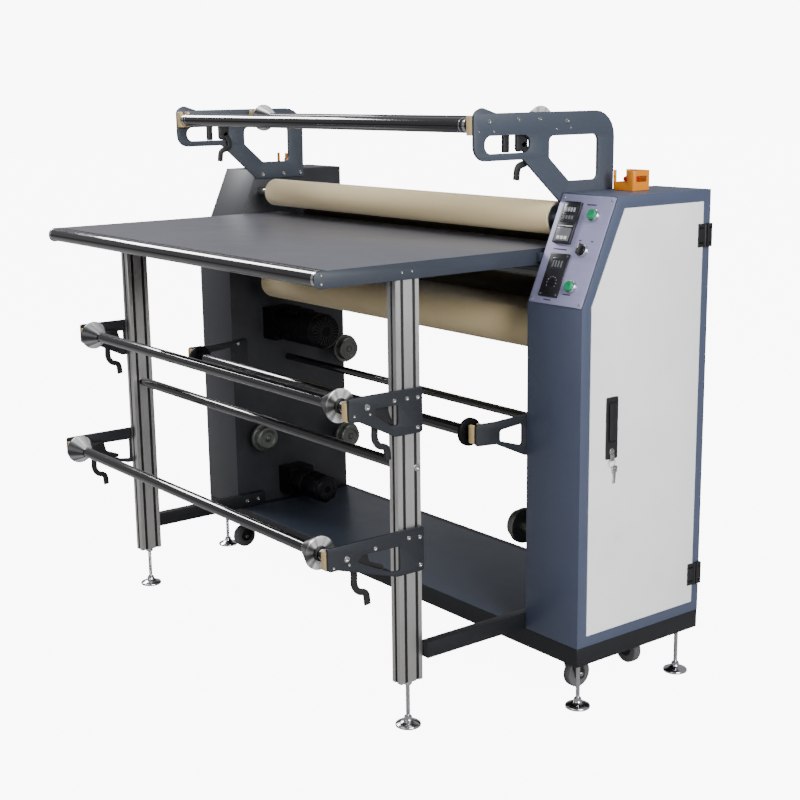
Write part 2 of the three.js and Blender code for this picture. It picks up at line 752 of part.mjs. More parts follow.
add("upper_front_roller", plainShaft(cabinetPlateInner, 17.5, upperAxis.y, upperAxis.z), blackSteel);
add("upper_rear_shaft", coneShaft(cabinetPlateInner, upperRearAxis.y, upperRearAxis.z), turnedSteel);
add("middle_shaft", coneShaft(legPlateInner + GAP, middleAxis.y, middleAxis.z), turnedSteel);
add("lower_shaft", coneShaft(legPlateInner + GAP, lowerAxis.y, lowerAxis.z), turnedSteel);
add("rear_shaft", discShaft(cabinetPlateInner, discFace, rearAxis.y, rearAxis.z), blackSteel);

// ---- fixed bars ---------------------------------------------------------------------------
const guideBar = { y: 205, z: plinthTop + 466, radius: 11 };
add("rear_guide_bar", turnedX(rod(-journalHalf, journalHalf, guideBar.radius), 16, guideBar.y, guideBar.z), blackSteel);

const legMiddleY = -legFront + legDepth / 2;
add(
  "leg_tie_bar",
  turnedX(rod(-legInner + GAP, legInner - GAP, tieBarRadius), 16, legMiddleY, plinthTop + tieBarHeight),
  blackSteel,
);

// ---- legs ---------------------------------------------------------------------------------
// A slotted aluminium extrusion standing on a levelling foot.
function leg(side) {
  const [x0, x1] = span(side, legInner, legOuter);
  const y0 = -legFront;
  const y1 = y0 + legDepth;
  const foot = plinthTop - legBelowPlinthTop;
  const top = plinthTop + tableHeight - tableSheet - GAP;
  const post = upZ(rectangle(x0, y0, x1, y1, 3), foot, top, 2);
  const slots = [];
  for (const y of [y0 + legDepth / 4, y1 - legDepth / 4]) {
    for (const x of [x0, x1]) {
      const size = [slotDepth, slotWidth / 2];
      slots.push(block([x - size[0], y - size[1], foot - 1], [x + size[0], y + size[1], top + 1]));
    }
  }
  const middle = (x0 + x1) / 2;
  for (const y of [y0, y1]) {
    slots.push(block([middle - slotWidth / 2, y - slotDepth, foot - 1], [middle + slotWidth / 2, y + slotDepth, top + 1]));
  }
  return union([cut(post, slots), levellingFoot(middle, (y0 + y1) / 2, foot + 1)]);
}
for (const [label, side] of sides) add(`leg_${label}`, leg(side), aluminium);

// ---- feed table and its roller ------------------------------------------------------------
const tableTop = plinthTop + tableHeight;
const tableRollerAxis = { y: -tableRollerAhead, z: tableTop - tableRollerBelow };

function feedTable() {
  const top = block([-tableHalf, -tableFront, tableTop - tableSheet], [tableHalf, tableRear, tableTop]);
  const front = block(
    [-tableHalf, -tableFront, tableTop - skirtDrop],
    [tableHalf, -tableFront + tableSheet, tableTop],
  );
  const parts = [top, front];
  for (const [, side] of sides) {
    const [x0, x1] = span(side, tableHalf, tableHalf + tableSheet);
    const nose = tableRollerAxis.y - tableRollerRadius + 1;
    const skirt = [
      [tableRear, tableTop], [tableRear, tableTop - skirtDrop],
      [nose, tableTop - skirtDrop, 17], [nose, tableTop, 17],
    ];
    parts.push(acrossX(outline(skirt), x0, x1, 5));
    const [t0, t1] = span(side, tableHalf + 1, innerHalf - GAP);
    parts.push(block([t0, 40, tableTop - 30], [t1, 110, tableTop - 10]));
  }
  return union(parts);
}
add("feed_table", feedTable(), tableFinish);

function tableRoller() {
  const end = tableHalf - GAP;
  const r = tableRollerRadius - RUNNING;
  return turnedX(rod(-end, end, r), 20, tableRollerAxis.y, tableRollerAxis.z);
}
add("table_roller", tableRoller(), blackSteel);

// ---- drive motors -------------------------------------------------------------------------
// A gearbox on the cabinet's inner face with its motor standing out along X.
function driveMotor({ y, z, gearbox, half, radius, length, sides: count }) {
  const x0 = -innerHalf + GAP;
  const box = block([x0, y - half, z - half], [x0 + gearbox, y + half, z + half]);
  const turn = Math.PI / count;
  const body = new THREE.CylinderGeometry(radius, radius, length - gearbox + 1, count);
  body.rotateY(turn).rotateZ(-Math.PI / 2);
  body.translate(x0 + (gearbox - 1 + length) / 2, y, z);
  return union([box, solid(body)]);
}
const upperMotor = { y: 165, z: plinthTop + 585, gearbox: 66, half: 50, radius: 53, length: 280, sides: 20 };
const lowerMotor = { y: 200, z: plinthTop + 68, gearbox: 70, half: 44, radius: 46, length: 215, sides: 8 };
add("drum_drive_motor", driveMotor(upperMotor), blackPlastic);
add("take_up_motor", driveMotor(lowerMotor), blackPlastic);

// ---- core chucks --------------------------------------------------------------------------
// A flanged plug on a hub that turns in the cabinet's inner face.
const chuckPlaces = [["upper", 400, 474], ["front", 80, 226], ["lower", 400, 182]];
function coreChuck(side, reach) {
  const inner = innerHalf - GAP;
  const face = inner - reach;
  const profile = [
    [inner, 0], [inner, 17], [face + 32, 17], [face + 32, 45], [face + 20, 45],
    [face + 20, 36], [face, 36], [face, 0],
  ];
  return turnedX(profile.map(([x, r]) => [side * x, r]), 16);
}
for (const [label, y, z] of chuckPlaces) {
  add(`${label}_chuck_left`, coreChuck(-1, 66), castGrey, [0, y, plinthTop + z]);
  add(`${label}_chuck_right`, coreChuck(1, 122), castGrey, [0, y, plinthTop + z]);
}

// The origin is on the floor under the middle of the whole machine.
const reach = new THREE.Box3().setFromObject(machine);
const middle = reach.getCenter(new THREE.Vector3());
machine.position.set(-middle.x, -middle.y, -reach.min.z);

export default heatPress;
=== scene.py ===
"""Looks of the roll-to-roll heat press: painted cabinets, felt blanket, shafts and controls."""

import math

import bmesh
import bpy
from mathutils import Matrix, Vector


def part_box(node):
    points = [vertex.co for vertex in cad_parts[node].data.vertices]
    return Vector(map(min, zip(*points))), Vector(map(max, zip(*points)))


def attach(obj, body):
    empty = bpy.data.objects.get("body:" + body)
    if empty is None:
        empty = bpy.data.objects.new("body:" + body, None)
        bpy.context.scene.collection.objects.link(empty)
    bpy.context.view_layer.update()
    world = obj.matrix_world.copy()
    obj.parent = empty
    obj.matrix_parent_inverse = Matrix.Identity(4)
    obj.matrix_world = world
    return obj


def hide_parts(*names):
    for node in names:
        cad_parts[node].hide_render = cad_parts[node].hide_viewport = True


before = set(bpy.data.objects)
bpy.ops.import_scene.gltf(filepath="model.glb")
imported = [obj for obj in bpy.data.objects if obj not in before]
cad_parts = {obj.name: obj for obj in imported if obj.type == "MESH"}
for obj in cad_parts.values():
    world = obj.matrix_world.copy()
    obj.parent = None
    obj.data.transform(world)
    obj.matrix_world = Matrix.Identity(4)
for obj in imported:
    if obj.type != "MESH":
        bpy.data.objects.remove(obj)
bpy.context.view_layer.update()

# ---- where the machine stands --------------------------------------------------------------
# Pieces are drawn in millimetres: x from the middle, y back from the cabinets' front faces and
# z up from the plinth's top.
MM = 0.001
GAP = 0.3  # between pieces that touch
INNER = 676.0
OUTER = 856.0
DEPTH = 425.0
HEIGHT = 1060.0
SLOPE_START = 810.0
SLOPE_DEPTH = 111.0
SLOPE_ANGLE = math.atan2(SLOPE_DEPTH, HEIGHT - SLOPE_START)
SLOPE_LENGTH = math.hypot(SLOPE_DEPTH, HEIGHT - SLOPE_START)
FLOOR = -168.0
FRAME = "machine_frame"

cabinet_low = Vector(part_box("right_cabinet")[0])
ORIGIN = cabinet_low - Vector((INNER, 0.0, GAP)) * MM
PLACE = Matrix.Translation(ORIGIN) @ Matrix.Scale(MM, 4)

FLAT = Matrix.Identity(4)
ACROSS = Matrix(((0, 0, 1, 0), (1, 0, 0, 0), (0, 1, 0, 0), (0, 0, 0, 1)))
SLOPE = Matrix.Translation((0, 0, SLOPE_START)) @ Matrix.Rotation(math.pi / 2 - SLOPE_ANGLE, 4, "X")


# ---- shader writing ------------------------------------------------------------------------
class Value:
    """A node socket that can be written in sums."""

    def __init__(self, board, socket):
        self.board = board
        self.socket = socket

    def __add__(self, other):
        return self.board.math("ADD", self, other)

    def __sub__(self, other):
        return self.board.math("SUBTRACT", self, other)

    def __mul__(self, other):
        return self.board.math("MULTIPLY", self, other)

    __radd__ = __add__
    __rmul__ = __mul__


class Board:
    """One material's nodes."""

    def __init__(self, name):
        self.material = bpy.data.materials.new(name)
        self.material.use_nodes = True
        self.tree = self.material.node_tree
        self.shader = self.tree.nodes["Principled BSDF"]

    def node(self, kind, settings=None, inputs=None, out=0):
        made = self.tree.nodes.new(kind)
        for key, value in (settings or {}).items():
            if key == "stops":
                self.set_stops(made.color_ramp, value)
            else:
                setattr(made, key, value)
        for key, value in (inputs or {}).items():
            self.feed(made.inputs[key], value)
        return Value(self, made.outputs[out])

    def math(self, operation, first, second=0.0):
        return self.node("ShaderNodeMath", {"operation": operation}, {0: first, 1: second})

    def feed(self, socket, value):
        if isinstance(value, Value):
            self.tree.links.new(value.socket, socket)
        elif socket.type == "RGBA" and len(value) == 3:
            socket.default_value = (*value, 1.0)
        else:
            socket.default_value = value

    def set_stops(self, ramp, stops):
        while len(ramp.elements) < len(stops):
            ramp.elements.new(0.5)
        for element, (place, shade) in zip(ramp.elements, stops):
            element.position = place
            element.color = (shade, shade, shade, 1.0) if isinstance(shade, float) else (*shade, 1.0)

    def place(self, stretch=(1.0, 1.0, 1.0)):
        coordinates = self.node("ShaderNodeTexCoord", out=3)
        return self.node("ShaderNodeMapping", {}, {"Vector": coordinates, "Scale": stretch})

    def noise(self, scale, detail=2.0, stretch=(1.0, 1.0, 1.0), rough=0.5):
        inputs = {"Vector": self.place(stretch), "Scale": scale, "Detail": detail, "Roughness": rough}
        return self.node("ShaderNodeTexNoise", {}, inputs)

    def mix(self, share, first, second):
        return self.node(
            "ShaderNodeMix", {"data_type": "RGBA"}, {0: share, 6: first, 7: second}, out=2
        )

    def ramp(self, value, stops):
        return self.node("ShaderNodeValToRGB", {"stops": stops}, {0: value})

    def axis(self, letter):
        parts = self.node("ShaderNodeTexCoord", out=3)
        return self.node("ShaderNodeSeparateXYZ", {}, {0: parts}, out="XYZ".index(letter))

    def bump(self, height, strength, distance=0.001):
        inputs = {"Height": height, "Strength": strength, "Distance": distance}
        return self.node("ShaderNodeBump", {}, inputs)

    def set(self, **values):
        for key, value in values.items():
            self.feed(self.shader.inputs[key.replace("_", " ")], value)
        return self.material


def shade(red, green, blue):
    """A colour as it is seen, from 0 to 255, as the light it gives back."""
    parts = (red / 255, green / 255, blue / 255)
    return tuple(v / 12.92 if v <= 0.04045 else ((v + 0.055) / 1.055) ** 2.4 for v in parts)


def darker(colour, share):
    """A colour scaled: under 1 it is darker, over 1 it is lighter."""
    return tuple(v * share for v in colour)


def painted(name, colour, rough=0.42, peel=0.05, coat=0.0, metal=0.0):
    """Sprayed paint: a faint mottle, an orange-peel skin and duller patches."""
    board = Board(name)
    mottle = board.noise(6.0, 3.0)
    skin = board.noise(900.0, 2.0)
    patches = board.noise(11.0, 4.0)
    tint = board.mix(mottle, darker(colour, 0.88), darker(colour, 1.1))
    return board.set(
        Base_Color=tint,
        Roughness=patches * 0.12 + (rough - 0.06),
        Metallic=metal,
        Coat_Weight=coat,
        Normal=board.bump(skin, peel),
    )


def painted_shade_past(name, colour, inner, edge, rough=0.42):
    """Sprayed paint in one colour up to x = edge, in metres, and past it another colour that is painted
    shade.
    """
    board = Board(name)
    patches = board.noise(11.0, 4.0)
    mottle = board.noise(6.0, 3.0)
    # past the edge the colour turns to the painted shade colour
    past = board.math("GREATER_THAN", board.axis("X"), edge)
    tint = board.mix(past, colour, inner)
    return board.set(
        Base_Color=board.mix(mottle, darker(colour, 0.9), tint),
        Roughness=patches * 0.12 + (rough - 0.06),
        Normal=board.bump(board.noise(900.0, 2.0), 0.06),
    )


def painted_sunburst(name, y, z):
    """Turned metal seen end on, its reflection painted into the colour: bright and dull sectors of painted
    highlight fan out from an axis at (y, z).
    """
    board = Board(name)
    centre = PLACE @ Vector((0.0, y, z))
    angle = board.math("ARCTAN2", board.axis("Z") - centre.z, board.axis("Y") - centre.y)
    # painted highlight: two broad bright sectors and finer ones, set by the angle round the axis
    fan = board.math("SINE", angle * 2.0 + 4.9) * 0.34
    fine = board.math("SINE", angle * 9.0 + 0.4) * 0.16
    rings = board.noise(1.0, 2.0, (1800.0, 8.0, 8.0)) * 0.14
    stops = [(0.1, shade(66, 67, 68)), (0.45, shade(150, 151, 152)), (0.7, shade(255, 255, 255))]
    return board.set(
        Base_Color=board.ramp(fan + fine + rings + 0.4, stops),
        Roughness=rings + 0.24,
        Metallic=0.55,
    )


def brushed(name, colour, rough, stretch, grain=0.1, metal=1.0):
    """Metal with a directional grain: the stretch is finest across the strokes."""
    board = Board(name)
    strokes = board.noise(1.0, 3.0, stretch, 0.65)
    haze = board.noise(14.0, 3.0)
    tint = board.mix(strokes, darker(colour, 0.82), darker(colour, 1.12))
    return board.set(
        Base_Color=tint,
        Roughness=strokes * grain + haze * 0.08 + (rough - 0.06),
        Metallic=metal,
        Normal=board.bump(strokes, 0.12),
    )


def moulded(name, colour, rough=0.35, grain=0.04):
    """Moulded plastic with a fine spark-eroded grain."""
    board = Board(name)
    sparkle = board.noise(1400.0, 1.0)
    cloud = board.noise(20.0, 2.0)
    tint = board.mix(cloud, darker(colour, 0.9), darker(colour, 1.08))
    return board.set(
        Base_Color=tint,
        Roughness=cloud * 0.1 + (rough - 0.05),
        Normal=board.bump(sparkle, grain),
    )


def needled_felt(name, colour):
    """Needled wool felt: soft blotches, darker streaks of painted shade along X, fibres that lie both ways
    and a fuzzy skin.
    """
    board = Board(name)
    blotch = board.noise(9.0, 4.0, (0.6, 1.0, 1.0))
    fibres = board.noise(420.0, 4.0, (0.35, 1.0, 1.0), 0.7)
    cross = board.noise(700.0, 3.0, (1.0, 0.4, 0.4), 0.6)
    # painted shade: darker streaks that run along X, across the machine
    shade_streaks = board.ramp(board.noise(3.0, 5.0, (0.25, 2.0, 2.0)), [(0.35, 0.0), (0.75, 1.0)])
    base = board.mix(blotch, darker(colour, 0.86), darker(colour, 1.05))
    streak_shaded = board.mix(shade_streaks * 0.25, base, darker(colour, 0.7))
    tint = board.mix(fibres * 0.35, streak_shaded, darker(colour, 1.15))
    return board.set(
        Base_Color=tint,
        Roughness=fibres * 0.15 + 0.83,
        Sheen_Weight=0.25,
        Normal=board.bump(fibres * 0.6 + cross * 0.4, 0.35),
    )


def cast_metal(name, colour, rough=0.5):
    """Cast metal with a grainy skin."""
    board = Board(name)
    grit = board.noise(320.0, 4.0)
    stain = board.noise(25.0, 3.0)
    tint = board.mix(stain, darker(colour, 0.75), darker(colour, 1.15))
    return board.set(
        Base_Color=tint,
        Roughness=grit * 0.15 + (rough - 0.07),
        Metallic=0.8,
        Normal=board.bump(grit, 0.15),
    )


ALONG_X = (6.0, 1400.0, 1400.0)
ALONG_Z = (1400.0, 1400.0, 5.0)
ROUND_X = (1800.0, 8.0, 8.0)

CABINET_PAINT = painted("cabinet blue-grey paint", shade(70, 78, 98), 0.4, 0.06)
# The left cabinet's inner face, past x = -0.6818 m, is painted near black as painted shade.
CABINET_LEFT = painted_shade_past("cabinet charcoal paint with shaded inner face", shade(66, 68, 73), shade(18, 20, 24), -0.6818)
PLINTH_PAINT = painted("plinth black paint", shade(20, 22, 26), 0.42, 0.06)
TRAY_PAINT = painted("tray slate paint", shade(56, 63, 76), 0.33, 0.04)
BRACKET_PAINT = painted("bracket grey paint", shade(62, 69, 80), 0.42, 0.08)
BRACKET_DARK = painted("bracket dark paint", shade(34, 37, 42), 0.42, 0.08)
DOOR_PAINT = painted("door white paint", shade(246, 247, 248), 0.3, 0.03)
SKIRT_PAINT = painted("skirt dark paint", shade(48, 54, 64), 0.4, 0.05)
TABLE_TOP = painted("table top laminate", shade(100, 101, 108), 0.34, 0.03)
BLACK_GLOSS = painted("black lacquered tube", shade(9, 9, 10), 0.1, 0.004, 1.0)
BLACK_SATIN = moulded("black satin plastic", shade(24, 24, 26), 0.45)
BLACK_CASE = cast_metal("black cast casing", shade(24, 25, 28), 0.42)
STEEL = brushed("turned steel", shade(205, 205, 205), 0.2, ROUND_X, 0.12)
CHROME = brushed("bright steel", shade(225, 225, 228), 0.12, ROUND_X, 0.05)
ALUMINIUM = brushed("extruded aluminium", shade(226, 225, 222), 0.34, ALONG_Z, 0.1)
CHUCK_GREY = brushed("grey turned chuck", shade(120, 124, 118), 0.34, ROUND_X, 0.12, 0.9)
SADDLE_TAN = moulded("tan nylon", shade(226, 196, 140), 0.5, 0.06)
PANEL = brushed("lavender panel film", shade(164, 163, 198), 0.36, (3.0, 900.0, 900.0), 0.08, 0.35)
FELT = needled_felt("cream needled felt", shade(224, 203, 156))
YELLOW = moulded("yellow moulding", shade(214, 128, 10), 0.38)
RED = moulded("red mushroom", shade(196, 28, 26), 0.25, 0.01)
GREEN = moulded("green button", shade(18, 142, 92), 0.22, 0.01)
BEZEL = brushed("button bezel steel", shade(210, 210, 214), 0.22, ROUND_X, 0.06)
TREAD = moulded("grey tread", shade(96, 96, 98), 0.6, 0.1)
INSTRUMENT = moulded("instrument black", shade(26, 26, 30), 0.3, 0.02)
SCREEN = moulded("smoked window", shade(40, 43, 48), 0.12, 0.0)
COVER = moulded("smoked key cover", shade(112, 114, 118), 0.2, 0.0)
WHITE_PRINT = moulded("white print", shade(226, 226, 226), 0.5, 0.0)
DIM_PRINT = moulded("dim digits", shade(150, 152, 156), 0.4, 0.0)
DARK_PRINT = moulded("dark print", shade(58, 58, 84), 0.5, 0.0)
# Near black for painted shade in recesses: the leg T-slots, the lock window and the chuck seats.
RECESS_SHADE = moulded("painted recess shade", shade(12, 12, 13), 0.6, 0.02)


# ---- mesh writing --------------------------------------------------------------------------
def rounded(corners, steps=6):
    """The points of a closed outline, each corner rounded by its third number."""
    points = []
    count = len(corners)
    for i, corner in enumerate(corners):
        here = Vector(corner[:2])
        radius = corner[2] if len(corner) > 2 else 0.0
        before = Vector(corners[i - 1][:2]) - here
        after = Vector(corners[(i + 1) % count][:2]) - here
        if radius <= 0:
            points.append(tuple(here))
            continue
        half = before.angle(after) / 2
        run = min(radius / math.tan(half), before.length / 2.05, after.length / 2.05)
        reach = run * math.tan(half)
        middle = here + (before.normalized() + after.normalized()).normalized() * (reach / math.sin(half))
        start = here + before.normalized() * run - middle
        turn = start.angle_signed(here + after.normalized() * run - middle)
        for k in range(steps + 1):
            angle = -turn * k / steps
            spun = Matrix.Rotation(angle, 2) @ start
            points.append(tuple(middle + spun))
    return points


def rectangle(x0, y0, x1, y1, radius=0.0, steps=6):
    return rounded([(x0, y0, radius), (x1, y0, radius), (x1, y1, radius), (x0, y1, radius)], steps)


def ring(x, y, radius, count=24):
    turns = [2 * math.pi * k / count for k in range(count)]
    return [(x + radius * math.cos(t), y + radius * math.sin(t)) for t in turns]


def flat(loops, low, high, turn=FLAT, ease=0.6):
    """A plate between two heights, its first loop the outline and the rest its holes."""
    curve = bpy.data.curves.new("flat", "CURVE")
    curve.dimensions = "2D"
    curve.fill_mode = "BOTH"
    curve.extrude = (high - low) / 2 - ease
    curve.bevel_depth = ease
    curve.bevel_resolution = 1
    curve.offset = -ease
    for loop in loops:
        spline = curve.splines.new("POLY")
        spline.points.add(len(loop) - 1)
        for point, place in zip(spline.points, loop):
            point.co = (*place, 0.0, 1.0)
        spline.use_cyclic_u = True
    holder = bpy.data.objects.new("flat", curve)
    mesh = bpy.data.meshes.new_from_object(holder)
    bpy.data.objects.remove(holder)
    bpy.data.curves.remove(curve)
    mesh.transform(turn @ Matrix.Translation((0, 0, (low + high) / 2)))
    weld(mesh)
    return mesh


def weld(mesh):
    shape = bmesh.new()
    shape.from_mesh(mesh)
    bmesh.ops.remove_doubles(shape, verts=shape.verts, dist=0.002)
    bmesh.ops.recalc_face_normals(shape, faces=shape.faces)
    shape.to_mesh(mesh)
    shape.free()


def plate(loops, x0, x1, ease=0.6):
    """A plate across X: its loops are drawn in y and z."""
    return flat(loops, min(x0, x1), max(x0, x1), ACROSS, ease)


def box(low, high, ease=0.6):
    """A box with eased edges."""
    (x0, y0, z0), (x1, y1, z1) = low, high
    return flat([[(x0, y0), (x1, y0), (x1, y1), (x0, y1)]], z0, z1, FLAT, ease)


def eased(profile, size=0.8):
    """A turned profile with a small chamfer at each of its corners."""
    points = [profile[0]]
    for before, here, after in zip(profile, profile[1:], profile[2:]):
        a = Vector(before) - Vector(here)
        b = Vector(after) - Vector(here)
        if min(a.length, b.length) < 2.2 * size or a.length == 0 or a.angle(b) > 2.8:
            points.append(here)
            continue
        points.append(tuple(Vector(here) + a.normalized() * size))
        points.append(tuple(Vector(here) + b.normalized() * size))
    points.append(profile[-1])
    return points


def turned(profile, y, z, count=64, turn=None, size=0.8):
    """A piece turned about X at (y, z): its profile lists x and radius."""
    shape = bmesh.new()
    rows = []
    for x, radius in eased(profile, size):
        if radius < 1e-6:
            rows.append([shape.verts.new((x, 0, 0))])
            continue
        row = []
        for k in range(count):
            angle = 2 * math.pi * k / count
            row.append(shape.verts.new((x, radius * math.cos(angle), radius * math.sin(angle))))
        rows.append(row)
    for first, second in zip(rows, rows[1:]):
        for k in range(count):
            corners = [first[k % len(first)], first[(k + 1) % len(first)],
                       second[(k + 1) % len(second)], second[k % len(second)]]
            shape.faces.new(list(dict.fromkeys(corners)))
    bmesh.ops.remove_doubles(shape, verts=shape.verts, dist=0.0005)
    bmesh.ops.recalc_face_normals(shape, faces=shape.faces)
    mesh = bpy.data.meshes.new("turned")
    shape.to_mesh(mesh)
    shape.free()
    mesh.transform(turn if turn else Matrix.Translation((0, y, z)))
    return mesh


def standing(x, y):
    """Turns a piece drawn along X to stand along Z at (x, y)."""
    return Matrix.Translation((x, y, 0)) @ Matrix.Rotation(-math.pi / 2, 4, "Y")


def on_slope(x, along):
    """Turns a piece drawn along X to stand out from the sloped panel."""
    return SLOPE @ standing(x, along)


def both(profile):
    """A profile drawn from one end to the middle, mirrored to make the whole."""
    return profile + [(-x, radius) for x, radius in reversed(profile)]


def tube(points, radius, turn=FLAT, closed=False):
    """A round bar along a smooth line."""
    curve = bpy.data.curves.new("tube", "CURVE")
    curve.dimensions = "3D"
    curve.bevel_depth = radius
    curve.bevel_resolution = 3
    curve.use_fill_caps = not closed
    spline = curve.splines.new("POLY")
    spline.points.add(len(points) - 1)
    for point, place in zip(spline.points, points):
        point.co = (*place, 1.0)
    spline.use_cyclic_u = closed
    holder = bpy.data.objects.new("tube", curve)
    mesh = bpy.data.meshes.new_from_object(holder)
    bpy.data.objects.remove(holder)
    bpy.data.curves.remove(curve)
    mesh.transform(turn)
    weld(mesh)
    return mesh


def piece(name, parts, body=FRAME, nodes=(), sharp=32.0):
    """One object from (mesh, finish) pairs, in place, riding on its body."""
    whole = bmesh.new()
    finishes = []
    for mesh, finish in parts:
        if finish not in finishes:
            finishes.append(finish)
        for polygon in mesh.polygons:
            polygon.material_index = finishes.index(finish)
        whole.from_mesh(mesh)
        bpy.data.meshes.remove(mesh)
    mesh = bpy.data.meshes.new(name)
    whole.to_mesh(mesh)
    whole.free()
    mesh.transform(PLACE)
    for finish in finishes:
        mesh.materials.append(finish)
    for polygon in mesh.polygons:
        polygon.use_smooth = True
    mesh.set_sharp_from_angle(angle=math.radians(sharp))
    made = bpy.data.objects.new(name, mesh)
    bpy.context.scene.collection.objects.link(made)
    settle(made, body, nodes)
    return made


def settle(made, body, nodes):
    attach(made, body)
    if nodes:
        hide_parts(*nodes)


def copy_of(node, width=1.0):
    """A CAD node's own shape in millimetres, welded and with its edges eased."""
    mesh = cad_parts[node].data.copy()
    mesh.transform(PLACE.inverted())
    weld(mesh)
    shape = bmesh.new()
    shape.from_mesh(mesh)
    bmesh.ops.dissolve_limit(shape, angle_limit=math.radians(1.0), verts=shape.verts, edges=shape.edges)
    edges = [e for e in shape.edges if len(e.link_faces) == 2 and e.calc_face_angle(0.0) > math.radians(28)]
    if width:
        bmesh.ops.bevel(shape, geom=edges, offset=width, segments=2, affect="EDGES", profile=0.5,
                        clamp_overlap=True)
    shape.to_mesh(mesh)
    shape.free()
    mesh.materials.clear()
    return mesh


# ---- screws, as points that a node tree dresses with heads ---------------------------------
def screw_tree():
    """Geometry nodes that put a recessed screw head on every point, facing its own way."""
    tree = bpy.data.node_groups.new("screw heads", "GeometryNodeTree")
    face = tree.interface
    face.new_socket("Geometry", in_out="INPUT", socket_type="NodeSocketGeometry")
    sizes = {"Head Height": 0.55, "Chamfer": 0.86, "Socket Width": 0.6, "Socket Depth": 0.4}
    for name, value in sizes.items():
        face.new_socket(name, in_out="INPUT", socket_type="NodeSocketFloat").default_value = value
    face.new_socket("Finish", in_out="INPUT", socket_type="NodeSocketMaterial")
    face.new_socket("Geometry", in_out="OUTPUT", socket_type="NodeSocketGeometry")
    make = tree.nodes.new
    link = tree.links.new
    given = make("NodeGroupInput")
    head = make("GeometryNodeMeshCylinder")
    head.inputs["Vertices"].default_value = 18
    head.inputs["Radius"].default_value = 1.0
    link(given.outputs["Head Height"], head.inputs["Depth"])

    def extrude(mesh, top, depth):
        step = make("GeometryNodeExtrudeMesh")
        link(mesh, step.inputs["Mesh"])
        link(top, step.inputs["Selection"])
        if isinstance(depth, float):
            step.inputs["Offset Scale"].default_value = depth
        else:
            link(depth, step.inputs["Offset Scale"])
        return step.outputs["Mesh"], step.outputs["Top"]

    def shrink(mesh, top, share):
        step = make("GeometryNodeScaleElements")
        link(mesh, step.inputs["Geometry"])
        link(top, step.inputs["Selection"])
        link(share, step.inputs["Scale"])
        return step.outputs["Geometry"]

    mesh, top = extrude(head.outputs["Mesh"], head.outputs["Top"], 0.14)
    mesh = shrink(mesh, top, given.outputs["Chamfer"])
    mesh, top = extrude(mesh, top, 0.001)
    mesh = shrink(mesh, top, given.outputs["Socket Width"])
    down = make("ShaderNodeMath")
    down.operation = "MULTIPLY"
    down.inputs[1].default_value = -1.0
    link(given.outputs["Socket Depth"], down.inputs[0])
    mesh, top = extrude(mesh, top, down.outputs[0])
    facing = make("GeometryNodeInputNamedAttribute")
    facing.data_type = "FLOAT_VECTOR"
    facing.inputs["Name"].default_value = "facing"
    size = make("GeometryNodeInputNamedAttribute")
    size.inputs["Name"].default_value = "size"
    aim = make("FunctionNodeAlignRotationToVector")
    aim.axis = "Z"
    link(facing.outputs["Attribute"], aim.inputs["Vector"])
    spread = make("GeometryNodeInstanceOnPoints")
    link(given.outputs["Geometry"], spread.inputs["Points"])
    link(mesh, spread.inputs["Instance"])
    link(aim.outputs["Rotation"], spread.inputs["Rotation"])
    link(size.outputs["Attribute"], spread.inputs["Scale"])
    real = make("GeometryNodeRealizeInstances")
    link(spread.outputs["Instances"], real.inputs["Geometry"])
    paint = make("GeometryNodeSetMaterial")
    link(real.outputs["Geometry"], paint.inputs["Geometry"])
    link(given.outputs["Finish"], paint.inputs["Material"])
    result = make("NodeGroupOutput")
    link(paint.outputs["Geometry"], result.inputs["Geometry"])
    return tree


SCREW_TREE = screw_tree()
OUT_X = (1.0, 0.0, 0.0)
IN_X = (-1.0, 0.0, 0.0)


def screws(name, places, finish=None, body=FRAME):
    """Screw heads on one body: each place is its point, the way it faces and its radius."""
    finish = finish or BLACK_CASE
    points = bpy.data.meshes.new(name)
    points.from_pydata([place for place, _, _ in places], [], [])
    points.attributes.new("facing", "FLOAT_VECTOR", "POINT")
    points.attributes.new("size", "FLOAT", "POINT")
    points.attributes["facing"].data.foreach_set("vector", [v for _, way, _ in places for v in way])
    points.attributes["size"].data.foreach_set("value", [radius for _, _, radius in places])
    holder = bpy.data.objects.new(name, points)
    bpy.context.scene.collection.objects.link(holder)
    dress = holder.modifiers.new("heads", "NODES")
    dress.node_group = SCREW_TREE
    for item in SCREW_TREE.interface.items_tree:
        if item.in_out == "INPUT" and item.name == "Finish":
            dress[item.identifier] = finish
    graph = bpy.context.evaluated_depsgraph_get()
    mesh = bpy.data.meshes.new_from_object(holder.evaluated_get(graph))
    bpy.data.objects.remove(holder)
    weld(mesh)
    mesh.transform(PLACE)
    mesh.materials.clear()
    mesh.materials.append(finish)
    for polygon in mesh.polygons:
        polygon.material_index = 0
        polygon.use_smooth = True
    mesh.set_sharp_from_angle(angle=math.radians(30))
    made = bpy.data.objects.new(name, mesh)
    bpy.context.scene.collection.objects.link(made)
    settle(made, body, ())
    return made


SIDES = (("left", -1), ("right", 1))


def spread(side, inner, outer):
    return (inner, outer) if side > 0 else (-outer, -inner)


def outward(side):
    """The way that faces off the machine on its left (-1) or its right (1)."""
    return OUT_X if side > 0 else IN_X


def handed(side, start, profile):
    """A profile measured from start, laid out to one side of the machine's middle."""
    return [(side * (start + x), radius) for x, radius in profile]


# ---- base ----------------------------------------------------------------------------------
FOOT_TOP = -46.0
STRETCHER_WIDE = 24.0


